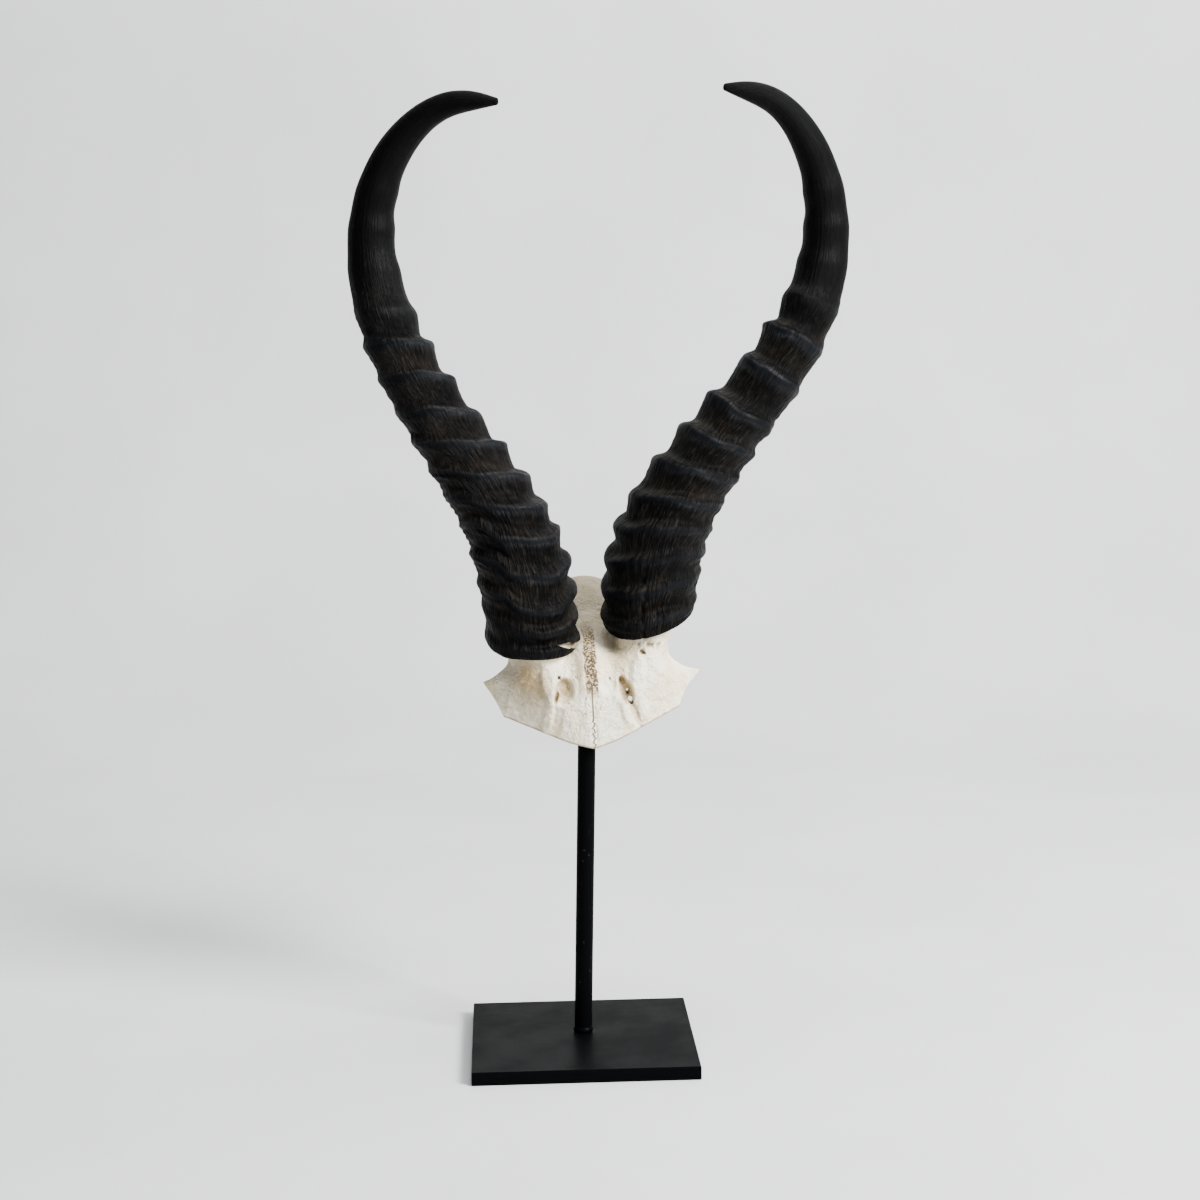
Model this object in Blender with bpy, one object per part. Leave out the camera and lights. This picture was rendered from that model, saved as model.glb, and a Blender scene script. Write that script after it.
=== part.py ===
"""Mounted springbok horns: two ringed horn sheaths on the bone cores of a sawn skull cap, held up by a
round steel rod on a square steel base plate. Metres, +Z up, origin at the centre of the plate's underside.
+X is the viewer's right, -Y is the forehead side that faces the viewer."""

import math

import bmesh
import bpy
import numpy as np
from mathutils import Vector

MM = 0.001
GAP = 0.3 * MM
HIDDEN_OVERRUN = 2 * MM
WELD_DISTANCE = 0.01 * MM

# Base plate: square flat bar, its edges eased.
PLATE_SIDE = 100 * MM
PLATE_THICKNESS = 6 * MM
PLATE_EDGE_ROUND = 0.5 * MM

# Rod: round bar that leans slightly to the right, with a small weld bead round its foot, its top forged
# flat into a paddle with two holes. Bead rows are the height above the foot and the radius added there.
ROD_RADIUS = 4 * MM
ROD_FOOT = Vector((0.4 * MM, 2.5 * MM, PLATE_THICKNESS + GAP))
WELD_BEAD = ((0, 0.2), (0.8, 0.5), (1.7, 0.5), (2.6, 0))
ROD_LEAN = 0.027
ROD_ROUND_TOP = 143 * MM
PADDLE_HALF_WIDTH = 6.5 * MM
PADDLE_HALF_THICKNESS = 1.5 * MM
PADDLE_BOTTOM = 150 * MM
PADDLE_TOP = 178 * MM
PADDLE_DEPTH = 2.7 * MM
PADDLE_CORNER = 3 * MM
PADDLE_SQUARENESS = 0.62
PADDLE_HOLES = (157 * MM, 171 * MM)
FORGED_STEPS = 4
ROD_SIDES = 24

# Screws: two pan-head screws through the paddle into the bone. Head rows are shares of its height and radius.
TAB_SCREW_RADIUS = 1.6 * MM
TAB_SCREW_HEAD_RADIUS = 3.2 * MM
TAB_SCREW_HEAD_HEIGHT = 2 * MM
TAB_SCREW_HEAD_DOME = ((1, 0.62), (0.8, 0.88), (0.35, 1), (0, 1))
TAB_SCREW_BITE = 3 * MM
SOCKET_RADIUS = 1.3 * MM
SOCKET_DEPTH = 1.2 * MM
SCREW_SIDES = 20

# Skull cap, in its own frame: x from the midline, y back, z up from the front tip of the sawn edge.
SKULL_TIP = Vector((7.0, -9.0, 139.2)) * MM
SKULL_ROLL = math.radians(2.0)
CORE_NECK = (24.0, 18.0, 45.0)
CORE_NECK_RADII = (11.8, 12.5)
CORE_NECK_BACK_RISE = 0.25
CORE_NECK_INNER_RISE = 0.12
NECK_FLARE = 0.25
# Behind the horns the surface leaves the neck level with the roof, most of all on this bearing.
ROOF_BEARING = 112
ROOF_LEVEL_SPAN = 30
ROOF_BLEND_SPAN = 60
ROOF_RISE = 0.3
ROOF_REACH = 1.9
# Each row is a point of the cap's edge, the direction in which the surface crosses that edge, the bearing
# on the core's neck that faces it, and how far the surface runs straight down the core before it turns.
FOREHEAD_MIDLINE = (
    ((0, 0.0, 0.0), (-8, -0.5, -12), 239, 16),
    ((0, 1.0, 18.0), (-18, 0, -3), 226, 15),
    ((0, 3.0, 34.0), (-18, 0, 0), 208, 12),
    ((0, 5.5, 42.5), (-11, 0, 0), 193, 10),
    ((0, 11.0, 46.8), (-6, 0, -1), 176, 9),
    ((0, 21.0, 50.8), (-7, 0, -0.5), 157, 8),
    ((0, 34.0, 56.5), (-14, 0, 0), 140, 7),
    ((0, 50.0, 63.0), (-20, 0, 0), 128, 7),
    ((0, 64.0, 66.5), (-22, 0, 0), 119, 7),
    ((0, 74.0, 62.5), (-20, 6, -5), 112, 7),
    ((0, 79.0, 55.3), (-12, 10, -22), 106, 8),
)
BRAINCASE_EDGE = (
    ((0, 79.0, 55.3), (-12, 10, -22), 106, 8),
    ((20, 74.0, 51.8), (8, 12, -34), 92, 8),
    ((30, 58.0, 40.6), (13, 4, -34), 76, 9),
    ((33, 45.0, 31.5), (10, 0, -22), 54, 10),
)
ORBIT_REAR_RIM = (
    ((33, 45.0, 31.5), (10, 0, -22), 54, 10),
    ((41, 38.0, 28.5), (10, 4, -8), 27, 10),
    ((47.5, 24.0, 27.5), (11, 1, -5), -3, 11),
)
ORBIT_FRONT_RIM = (
    ((47.5, 24.0, 27.5), (11, 1, -5), -3, 11),
    ((43.8, 22.0, 22.0), (10, 2, -7), -22, 12),
    ((39.5, 19.0, 13.3), (8, 3, -11), -40, 14),
)
SAWN_FOREHEAD = (
    ((39.5, 19.0, 13.3), (8, 3, -11), -40, 14),
    ((21.0, 9.0, 6.3), (1, 0, -17), -90, 18),
    ((8.0, 2.6, 1.8), (-4, -0.4, -15), -113, 17),
    ((0, 0.0, 0.0), (-8, -0.5, -12), -121, 16),
)
EDGE_STRETCHES = (
    (FOREHEAD_MIDLINE, 14),
    (BRAINCASE_EDGE, 6),
    (ORBIT_REAR_RIM, 4),
    (ORBIT_FRONT_RIM, 3),
    (SAWN_FOREHEAD, 7),
)
# The hollow underside: its edge inside each edge point above, in the same order, and its deepest point.
HOLLOW_MIDLINE = (
    (0, 7.5, 5.3),
    (0, 9.3, 18.0),
    (0, 9.6, 32.0),
    (0, 12.5, 38.5),
    (0, 17.0, 42.5),
    (0, 25.0, 46.0),
    (0, 36.0, 50.5),
    (0, 50.0, 56.5),
    (0, 61.0, 60.0),
    (0, 69.0, 57.0),
    (0, 74.0, 51.8),
)
HOLLOW_BRAINCASE = ((0, 74.0, 51.8), (17, 68.0, 47.6), (26, 56.0, 39.2), (29, 45.0, 31.5))
HOLLOW_ORBIT_REAR = ((29, 45.0, 31.5), (38, 36.5, 26.0), (44.0, 26.0, 25.0))
HOLLOW_ORBIT_FRONT = ((44.0, 26.0, 25.0), (41.0, 25.0, 20.0), (37.0, 22.5, 15.8))
HOLLOW_SAWN = ((37.0, 22.5, 15.8), (20.5, 14.0, 9.8), (8.0, 8.6, 6.0), (0, 7.5, 5.3))
HOLLOW_STRETCHES = (
    HOLLOW_MIDLINE,
    HOLLOW_BRAINCASE,
    HOLLOW_ORBIT_REAR,
    HOLLOW_ORBIT_FRONT,
    HOLLOW_SAWN,
)
HOLLOW_DEEPEST = (22.0, 32.0, 43.0)
HOLLOW_MIDLINE_PULL = (-44, 0, 0)
HOLLOW_SPREAD = (0.9, 0.9, 0.15)
# The braincase bulges as a half ellipsoid behind the horns, and the hollow under it as a smaller one. Each
# is how far back its middle lies, its half width, its half depth, its foot's height and its own height.
BRAINCASE_DOME = (56.0, 30.5, 27.0, 34.0, 36.0)
HOLLOW_DOME = (54.0, 26.0, 23.0, 34.0, 31.0)
DOME_BLEND = 3.0
DOME_SKIRT = 0.25
# The hollow is dressed flat behind the forehead, where the rod's paddle is screwed on.
SEAT_HALF_WIDTH = 12.0
SEAT_TOP = 44.0
SEAT_DEPTH = 9.6
SKIN_STEPS = 8
HOLLOW_STEPS = 5
CORE_STATIONS = (8, 22, 36, 46)
CORE_RADII = (12.6, 11.4, 9.4, 6.4)
CORE_TOP = 51

# Horn sheaths: centre-line points from the rim to the tip, and the arc distance of each ring's crest.
LEFT_LINE = (
    (-18.6, 9, 188.0),
    (-20.8, 7, 210.0),
    (-30.5, 7, 242.0),
    (-47.2, 11, 268.7),
    (-68.7, 17, 302.0),
    (-83.8, 22, 338.0),
    (-87.0, 24, 370.0),
    (-75.7, 20, 403.0),
    (-52.5, 11, 421.4),
    (-30.3, 0, 421.9),
)
RIGHT_LINE = (
    (32.9, 9, 196.5),
    (34.2, 7, 214.0),
    (40.9, 7, 238.3),
    (61.6, 11, 269.8),
    (86.3, 17, 298.5),
    (106.6, 22, 330.0),
    (115.2, 24, 366.0),
    (109.0, 20, 399.0),
    (90.5, 11, 421.5),
    (67.8, 0, 427.0),
)
LEFT_RINGS = (5, 13, 22, 36, 51, 64, 81, 100, 116, 135, 150, 165, 186, 204)
RIGHT_RINGS = (4, 15, 25, 34, 47, 62, 80, 100, 122, 142, 160, 178)
# How nearly level the rings lie on the leaning horn, low down and high up, and the bearing of the side on
# which they stand out most.
LEFT_LEVELS = (1.0, 1.0)
RIGHT_LEVELS = (1.1, 0.1)
LEFT_BOLD_SIDE = 40
RIGHT_BOLD_SIDE = 140
RADIUS_SHARES = (0, 0.07, 0.14, 0.21, 0.33, 0.5, 0.65, 0.8, 0.9, 0.96, 1)
RADII = (20.6, 20.9, 20.2, 18.5, 15.8, 13.4, 10.8, 7.9, 5.8, 3.8, 0.9)
RING_HEIGHT = 1.9
RING_OUTER_SHARE = 0.3
RING_SHELF = 0.28
RING_CLIMB = 0.68
BELOW_FIRST_RING = 9
ABOVE_LAST_RING = 18
RING_FADE_START = 150
RING_FADE_END = 225
TILT_FADE_START = 175
TILT_FADE_END = 255
STEEPEST_LEAN = 0.35
RIM_FRONT_DROP = 0.32
FRONT_DROP_FADE = 110
SHEATH_SIDES = 20
LINE_SAMPLES = 600
TIP_STATIONS = 10
TIP_CROWDING = 1.25
TIP_POINT = 0.8
SOCKET_STATIONS = (0, 14, 30, 46, 56)
SOCKET_RADII = (16.6, 16.0, 14.6, 12.2, 8.4)
SOCKET_TOP = 61

COLOURS = {
    "black_steel": ((0.018, 0.019, 0.021), 0.42, 0.6),
    "screw_steel": ((0.45, 0.45, 0.46), 0.35, 1.0),
    "bone": ((0.80, 0.74, 0.62), 0.65, 0.0),
    "horn": ((0.016, 0.014, 0.013), 0.48, 0.0),
}


def clear_scene():
    for obj in list(bpy.data.objects):
        bpy.data.objects.remove(obj, do_unlink=True)


def material(name):
    colour, roughness, metallic = COLOURS[name]
    made = bpy.data.materials.get(name)
    if made:
        return made
    made = bpy.data.materials.new(name)
    made.use_nodes = True
    shader = made.node_tree.nodes["Principled BSDF"]
    shader.inputs["Base Color"].default_value = (*colour, 1)
    shader.inputs["Roughness"].default_value = roughness
    shader.inputs["Metallic"].default_value = metallic
    return made


def object_from(name, mesh_builder, material_name, sharp=35):
    """A linked object whose mesh comes from a bmesh, with outward faces and smooth shading."""
    bmesh.ops.recalc_face_normals(mesh_builder, faces=mesh_builder.faces)
    mesh = bpy.data.meshes.new(name)
    mesh_builder.to_mesh(mesh)
    mesh_builder.free()
    mesh.shade_smooth()
    mesh.set_sharp_from_angle(angle=math.radians(sharp))
    made = bpy.data.objects.new(name, mesh)
    made.data.materials.append(material(material_name))
    bpy.context.scene.collection.objects.link(made)
    return made


def cut(target, cutter):
    """Subtracts a helper object, which stays out of the render."""
    cutter.hide_render = True
    cutter.display_type = "WIRE"
    boolean = target.modifiers.new(f"minus_{cutter.name}", "BOOLEAN")
    boolean.operation = "DIFFERENCE"
    boolean.solver = "EXACT"
    boolean.object = cutter


def natural_spline(knots, values, at):
    """A cubic through every knot, with no bend at either end."""
    knots = np.asarray(knots, float)
    values = np.asarray(values, float)
    at = np.asarray(at, float)
    step = np.diff(knots)
    system = np.eye(len(knots))
    pull = np.zeros_like(values)
    for i in range(1, len(knots) - 1):
        system[i, i - 1 : i + 2] = step[i - 1], 2 * (step[i - 1] + step[i]), step[i]
        pull[i] = 6 * ((values[i + 1] - values[i]) / step[i] - (values[i] - values[i - 1]) / step[i - 1])
    bend = np.linalg.solve(system, pull)
    cell = np.clip(np.searchsorted(knots, at, side="right") - 1, 0, len(knots) - 2)
    wide = step[cell]
    after = (at - knots[cell]) / wide
    before = 1 - after
    shape = (...,) + (None,) * (values.ndim - 1)
    after, before, wide = after[shape], before[shape], wide[shape]
    straight = before * values[cell] + after * values[cell + 1]
    curved = (before**3 - before) * bend[cell] + (after**3 - after) * bend[cell + 1]
    return straight + curved * wide**2 / 6


def chord_knots(points):
    return np.r_[0, np.cumsum(np.linalg.norm(np.diff(points, axis=0), axis=1))]


def rings_mesh(rings, first_pole=None, last_pole=None, close_first=False, close_last=False):
    """A bmesh tube through rings of points, ended by a point, a flat face or nothing."""
    made = bmesh.new()
    verts = [[made.verts.new(p) for p in ring] for ring in rings]
    count = len(verts[0])
    for lower, upper in zip(verts, verts[1:]):
        for i in range(count):
            made.faces.new((lower[i], lower[(i + 1) % count], upper[(i + 1) % count], upper[i]))
    for pole, ring in ((first_pole, verts[0]), (last_pole, verts[-1])):
        if pole is not None:
            tip = made.verts.new(pole)
            for i in range(count):
                made.faces.new((ring[i], ring[(i + 1) % count], tip))
    if close_first:
        made.faces.new(verts[0])
    if close_last:
        made.faces.new(verts[-1])
    return made


def turned(profile, sides, centre, axis):
    """A solid of revolution: (distance along the axis, radius) pairs about a line through centre."""
    axis = Vector(axis).normalized()
    across = axis.orthogonal().normalized()
    third = axis.cross(across)
    angles = [2 * math.pi * i / sides for i in range(sides)]
    rings = [
        [centre + axis * along + (across * math.cos(a) + third * math.sin(a)) * radius for a in angles]
        for along, radius in profile
    ]
    return rings_mesh(rings, close_first=True, close_last=True)


def hexagon_cutter(name, centre, axis):
    """A six-sided plug for a screw's drive socket."""
    profile = ((-HIDDEN_OVERRUN, SOCKET_RADIUS), (SOCKET_DEPTH, SOCKET_RADIUS))
    return object_from(name, turned(profile, 6, centre, axis), "screw_steel")


def rod_axis(height):
    """The rod's centre at a height: straight with a lean, then set forward into the paddle."""
    rise = height - ROD_FOOT.z
    blend = min(max((height - ROD_ROUND_TOP) / (PADDLE_BOTTOM - ROD_ROUND_TOP), 0), 1)
    blend = blend * blend * (3 - 2 * blend)
    y = ROD_FOOT.y * (1 - blend) + PADDLE_DEPTH * blend
    return Vector((ROD_FOOT.x + ROD_LEAN * rise, y, height)), blend


def rod_ring(height, extra=0.0, shrink=1.0):
    """One cross-section of the rod: a circle low down, a rounded oblong on the paddle."""
    centre, blend = rod_axis(height)
    radius = ROD_RADIUS + extra
    half_x = (radius * (1 - blend) + PADDLE_HALF_WIDTH * blend) * shrink
    half_y = radius * (1 - blend) + PADDLE_HALF_THICKNESS * blend
    power = 1 - PADDLE_SQUARENESS * blend
    ring = []
    for i in range(ROD_SIDES):
        a = 2 * math.pi * i / ROD_SIDES
        c, s = math.cos(a), math.sin(a)
        x = math.copysign(abs(c) ** power, c) * half_x
        y = math.copysign(abs(s) ** power, s) * half_y
        ring.append(centre + Vector((x, y, 0)))
    return ring


def make_base_plate():
    builder = bmesh.new()
    bmesh.ops.create_cube(builder, size=1)
    bmesh.ops.scale(builder, vec=(PLATE_SIDE, PLATE_SIDE, PLATE_THICKNESS), verts=builder.verts)
    bmesh.ops.translate(builder, vec=(0, 0, PLATE_THICKNESS / 2), verts=builder.verts)
    plate = object_from("base_plate", builder, "black_steel")
    bevel = plate.modifiers.new("edge_round", "BEVEL")
    bevel.width = PLATE_EDGE_ROUND
    bevel.segments = 2


def make_post():
    rings = [rod_ring(ROD_FOOT.z + rise * MM, extra * MM) for rise, extra in WELD_BEAD]
    for k in range(FORGED_STEPS + 1):
        rings.append(rod_ring(ROD_ROUND_TOP + (PADDLE_BOTTOM - ROD_ROUND_TOP) * k / FORGED_STEPS))
    for turn in (0, 30, 60, 80):
        rise = PADDLE_CORNER * math.sin(math.radians(turn))
        inset = PADDLE_CORNER * (1 - math.cos(math.radians(turn)))
        height = PADDLE_TOP - PADDLE_CORNER + rise
        rings.append(rod_ring(height, shrink=1 - inset / PADDLE_HALF_WIDTH))
    post = object_from("post", rings_mesh(rings, close_first=True, close_last=True), "black_steel")
    for number, height in enumerate(PADDLE_HOLES):
        centre, _ = rod_axis(height)
        reach = PADDLE_HALF_THICKNESS + HIDDEN_OVERRUN
        hole = ((-reach, TAB_SCREW_RADIUS + GAP), (reach, TAB_SCREW_RADIUS + GAP))
        name = f"paddle_hole_cutter_{number}"
        cut(post, object_from(name, turned(hole, SCREW_SIDES, centre, (0, 1, 0)), "screw_steel"))


def make_tab_screws():
    for name, height in zip(("tab_screw_lower", "tab_screw_upper"), PADDLE_HOLES):
        centre, _ = rod_axis(height)
        seat = centre + Vector((0, PADDLE_HALF_THICKNESS + GAP, 0))
        shank = 2 * PADDLE_HALF_THICKNESS + 2 * GAP + TAB_SCREW_BITE
        tall, wide = TAB_SCREW_HEAD_HEIGHT, TAB_SCREW_HEAD_RADIUS
        profile = [(-tall * rise, wide * share) for rise, share in TAB_SCREW_HEAD_DOME]
        profile += [(0, TAB_SCREW_RADIUS), (shank - TAB_SCREW_RADIUS, TAB_SCREW_RADIUS), (shank, GAP)]
        screw = object_from(name, turned(profile, SCREW_SIDES, seat, (0, -1, 0)), "screw_steel")
        top = seat + Vector((0, TAB_SCREW_HEAD_HEIGHT, 0))
        cut(screw, hexagon_cutter(f"{name}_socket_cutter", top, (0, -1, 0)))


class HornLine:
    """A horn's centre line by arc distance in millimetres, with an across and a front direction at each."""

    def __init__(self, points, level_low, level_high):
        points = np.array(points, float)
        knots = chord_knots(points)
        fine = natural_spline(knots, points, np.linspace(0, knots[-1], LINE_SAMPLES))
        self.arc = chord_knots(fine)
        self.fine = fine
        self.length = self.arc[-1]
        self.level = (level_low, level_high)

    def at(self, s):
        """Points at arc distances, running on straight below the rim."""
        s = np.asarray(s, float)
        inside = np.clip(s, 0, self.length)
        points = np.stack([np.interp(inside, self.arc, self.fine[:, k]) for k in range(3)], -1)
        return points + (s - inside)[..., None] * self.tangent(inside)

    def tangent(self, s):
        slopes = np.gradient(self.fine, self.arc, axis=0)
        along = np.stack([np.interp(s, self.arc, slopes[:, k]) for k in range(3)], -1)
        return along / np.linalg.norm(along, axis=-1, keepdims=True)

    def frame(self, s):
        """Across points to +X at the base, front points to the viewer."""
        along = self.tangent(s)
        front = np.array([0.0, -1.0, 0.0]) - along * -along[..., 1:2]
        front /= np.linalg.norm(front, axis=-1, keepdims=True)
        return np.cross(along, front), front

    def radius(self, s):
        return natural_spline(np.array(RADIUS_SHARES) * self.length, RADII, np.clip(s, 0, self.length))

    def ring_shift(self, s, angle):
        """How far a ring lies along the horn, by bearing: level rings on a leaning horn, dipping in front."""
        along = self.tangent(s)
        lean = along[..., 0] / np.maximum(along[..., 2], STEEPEST_LEAN)
        high = np.clip(s / FRONT_DROP_FADE, 0, 1)
        level = self.level[0] * (1 - high) + self.level[1] * high
        fade = np.clip((TILT_FADE_END - s) / (TILT_FADE_END - TILT_FADE_START), 0, 1)
        dip = -RIM_FRONT_DROP * (1 - high)
        return self.radius(s) * fade * (lean * level * np.cos(angle) + dip * np.sin(angle))

    def points(self, s, angle, radius):
        """Surface points at shifted stations; s, angle and radius share one shape."""
        moved = np.minimum(s + self.ring_shift(s, angle), self.length)
        across, front = self.frame(np.clip(moved, 0, self.length))
        outward = across * np.cos(angle)[..., None] + front * np.sin(angle)[..., None]
        return self.at(moved) + outward * radius[..., None]


def ring_height(s, angle, rings, inner_angle):
    """Height of the ringed surface over the mean radius: a crest with a shelf on its tip side."""
    marks = np.array((rings[0] - BELOW_FIRST_RING, *rings, rings[-1] + ABOVE_LAST_RING), float)
    cell = np.clip(np.searchsorted(marks, s, side="right") - 1, 0, len(marks) - 2)
    phase = np.clip((s - marks[cell]) / (marks[cell + 1] - marks[cell]), 0, 1)
    fall = np.cos(np.clip(phase / RING_SHELF, 0, 1) * math.pi)
    climb = -np.cos(np.clip((phase - RING_SHELF) / (1 - RING_SHELF), 0, 1) * math.pi)
    wave = np.where(phase < RING_SHELF, fall, climb)
    facing = 0.5 + 0.5 * np.cos(angle - inner_angle)
    fade = np.clip((RING_FADE_END - s) / (RING_FADE_END - RING_FADE_START), 0, 1)
    early = np.clip(s / rings[0], 0, 1)
    return RING_HEIGHT * wave * (RING_OUTER_SHARE + (1 - RING_OUTER_SHARE) * facing) * fade * early


def sheath_stations(rings, length):
    """Arc distances that catch each ring's crest, groove and climb, then run on to the tip."""
    stations = [0, rings[0] * 0.5]
    for here, after in zip(rings, (*rings[1:], rings[-1] + ABOVE_LAST_RING)):
        stations += [here + (after - here) * share for share in (0, RING_SHELF, RING_CLIMB)]
    tail = length - stations[-1]
    for k in range(1, TIP_STATIONS + 1):
        left = 1 - k / (TIP_STATIONS + TIP_POINT / TIP_STATIONS)
        stations.append(length - tail * left**TIP_CROWDING)
    return stations


def make_sheath(name, line, rings, inner_angle):
    """A ringed horn sheath with a tapered socket for the bone core."""
    angles = np.array([2 * math.pi * i / SHEATH_SIDES for i in range(SHEATH_SIDES)])
    loops = []
    for s in sheath_stations(rings, line.length):
        reach = np.full(SHEATH_SIDES, float(s))
        radius = line.radius(reach) + ring_height(reach, angles, rings, inner_angle)
        loops.append(line.points(reach, angles, radius) * MM)
    socket = []
    for s, radius in zip(SOCKET_STATIONS, SOCKET_RADII):
        reach = np.full(SHEATH_SIDES, float(s))
        socket.append(line.points(reach, angles, np.full(SHEATH_SIDES, radius)) * MM)
    rings_in_order = socket[::-1] + loops
    builder = rings_mesh(
        [[Vector(p) for p in ring] for ring in rings_in_order],
        first_pole=Vector(line.at(float(SOCKET_TOP)) * MM),
        last_pole=Vector(line.at(line.length + TIP_POINT) * MM),
    )
    return object_from(name, builder, "horn", sharp=60)


def skull_to_world(points):
    """Skull-frame millimetres to world metres: rolled about the front-to-back axis, then placed."""
    points = np.asarray(points, float) * MM
    c, s = math.cos(SKULL_ROLL), math.sin(SKULL_ROLL)
    x = points[..., 0] * c - points[..., 2] * s
    z = points[..., 0] * s + points[..., 2] * c
    return np.stack([x, points[..., 1], z], -1) + np.array(SKULL_TIP)


def edge_samples():
    """The cap's edge from the front tip over the midline and round the side, with its inner edge."""
    parts = []
    for (rows, count), hollow in zip(EDGE_STRETCHES, HOLLOW_STRETCHES):
        outer = np.array([row[0] for row in rows], float)
        leave = np.array([row[1] for row in rows], float)
        rest = np.array([row[2:] for row in rows], float)
        knots = chord_knots(outer)
        at = np.linspace(0, knots[-1], count + 1)
        packed = np.hstack([outer, leave, rest, np.array(hollow, float)])
        parts.append(natural_spline(knots, packed, at)[:-1])
    midline_count = len(parts[0])
    table = np.vstack(parts)
    bearing = np.radians(table[:, 6])
    return table[:, :3], table[:, 3:6], bearing, table[:, 7], table[:, 8:], midline_count


def hermite(start, start_pull, end, end_pull, share):
    share = np.asarray(share)[:, None, None]
    return (
        (2 * share**3 - 3 * share**2 + 1) * start
        + (share**3 - 2 * share**2 + share) * start_pull
        + (3 * share**2 - 2 * share**3) * end
        + (share**3 - share**2) * end_pull
    )


def neck_ring(bearing, straight):
    """The core's neck by bearing, and the pull with which the surface leaves it there."""
    across = np.cos(bearing)
    back = np.sin(bearing)
    dx = CORE_NECK_RADII[0] * across
    dy = CORE_NECK_RADII[1] * back
    neck = np.array(CORE_NECK) + np.stack([dx, dy, dy * CORE_NECK_BACK_RISE - dx * CORE_NECK_INNER_RISE], -1)
    down = np.stack([across * NECK_FLARE, back * NECK_FLARE, -np.ones_like(across)], -1)
    level = np.stack([across, back, np.full_like(across, ROOF_RISE)], -1) * ROOF_REACH
    away = np.abs(np.degrees(bearing) - ROOF_BEARING)
    roof = np.clip((ROOF_BLEND_SPAN - away) / (ROOF_BLEND_SPAN - ROOF_LEVEL_SPAN), 0, 1)[:, None]
    return neck, (down * (1 - roof) + level * roof) * straight[:, None]


def domed(points, dome, share, midline_count):
    """Lifts a grid on to a dome by a smooth maximum of the two heights, and keeps the sawn edge."""
    back, half_width, half_depth, foot, height = dome
    inside = 1 - (points[..., 0] / half_width) ** 2 - ((points[..., 1] - back) / half_depth) ** 2
    over = foot + height * np.sqrt(np.clip(inside, 0, None)) - points[..., 2]
    lift = (over + np.sqrt(over**2 + DOME_BLEND**2)) / 2 * np.clip(inside / DOME_SKIRT, 0, 1)
    lift[:, midline_count:] *= (1 - share**4)[:, None]
    return points + lift[..., None] * np.array([0, 0, 1])


def skull_half(side, line):
    """Grids of one half in world metres: the core and skin from its top to the edge, and the hollow."""
    edge, leave, bearing, straight, hollow, midline_count = edge_samples()
    neck, down = neck_ring(bearing, straight)
    share = np.linspace(0, 1, SKIN_STEPS + 1)
    skin = domed(hermite(neck, down, edge, leave, share), BRAINCASE_DOME, share, midline_count)
    deepest = np.array(HOLLOW_DEEPEST)
    spread = (hollow - deepest) * np.array(HOLLOW_SPREAD)
    arrive = (hollow - deepest) * HOLLOW_SPREAD[0]
    arrive[:midline_count] = HOLLOW_MIDLINE_PULL
    share = np.linspace(0, 1, HOLLOW_STEPS + 1)[1:]
    bowl = domed(hermite(deepest, spread, hollow, arrive, share), HOLLOW_DOME, share, midline_count)
    seat = (np.abs(bowl[..., 0]) < SEAT_HALF_WIDTH) & (bowl[..., 2] < SEAT_TOP)
    bowl[..., 1] = np.where(seat, np.minimum(bowl[..., 1], SEAT_DEPTH), bowl[..., 1])
    mirror = np.array([side, 1, 1])
    skin = skull_to_world(skin * mirror)
    bowl = skull_to_world(bowl * mirror)
    rings = []
    for station, radius in zip(CORE_STATIONS, CORE_RADII):
        reach = np.full(len(bearing), float(station))
        turn = -bearing if side > 0 else math.pi + bearing
        rings.append(line.points(reach, turn, np.full(len(bearing), radius)) * MM)
    top = line.at(float(CORE_TOP)) * MM
    return np.concatenate([np.array(rings[::-1]), skin]), bowl, top, skull_to_world(deepest * mirror)


def make_skull_cap(lines):
    """Both halves welded on the midline, open below where the saw passed."""
    midline_count = edge_samples()[-1]
    builder = bmesh.new()
    for side, line in ((1, lines["right"]), (-1, lines["left"])):
        outer, bowl, top, deepest = skull_half(side, line)
        outer_verts = [[builder.verts.new(p) for p in ring] for ring in outer]
        bowl_verts = [[builder.verts.new(p) for p in ring] for ring in bowl]
        count = len(outer_verts[0])
        top_vert = builder.verts.new(top)
        deep_vert = builder.verts.new(deepest)
        for i in range(count):
            j = (i + 1) % count
            builder.faces.new((outer_verts[0][i], outer_verts[0][j], top_vert))
            builder.faces.new((bowl_verts[0][i], bowl_verts[0][j], deep_vert))
            for grid in (outer_verts, bowl_verts):
                for lower, upper in zip(grid, grid[1:]):
                    builder.faces.new((lower[i], lower[j], upper[j], upper[i]))
            if i >= midline_count:
                sawn = (outer_verts[-1][i], outer_verts[-1][j], bowl_verts[-1][j], bowl_verts[-1][i])
                builder.faces.new(sawn)
    bmesh.ops.remove_doubles(builder, verts=builder.verts, dist=WELD_DISTANCE)
    skull = object_from("skull_cap", builder, "bone", sharp=60)
    for number, height in enumerate(PADDLE_HOLES):
        centre, _ = rod_axis(height)
        reach = PADDLE_HALF_THICKNESS + TAB_SCREW_BITE + 2 * GAP
        hole = ((-2 * HIDDEN_OVERRUN, TAB_SCREW_RADIUS + GAP), (reach, TAB_SCREW_RADIUS + GAP))
        name = f"bone_hole_cutter_{number}"
        cut(skull, object_from(name, turned(hole, SCREW_SIDES, centre, (0, -1, 0)), "screw_steel"))


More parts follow.
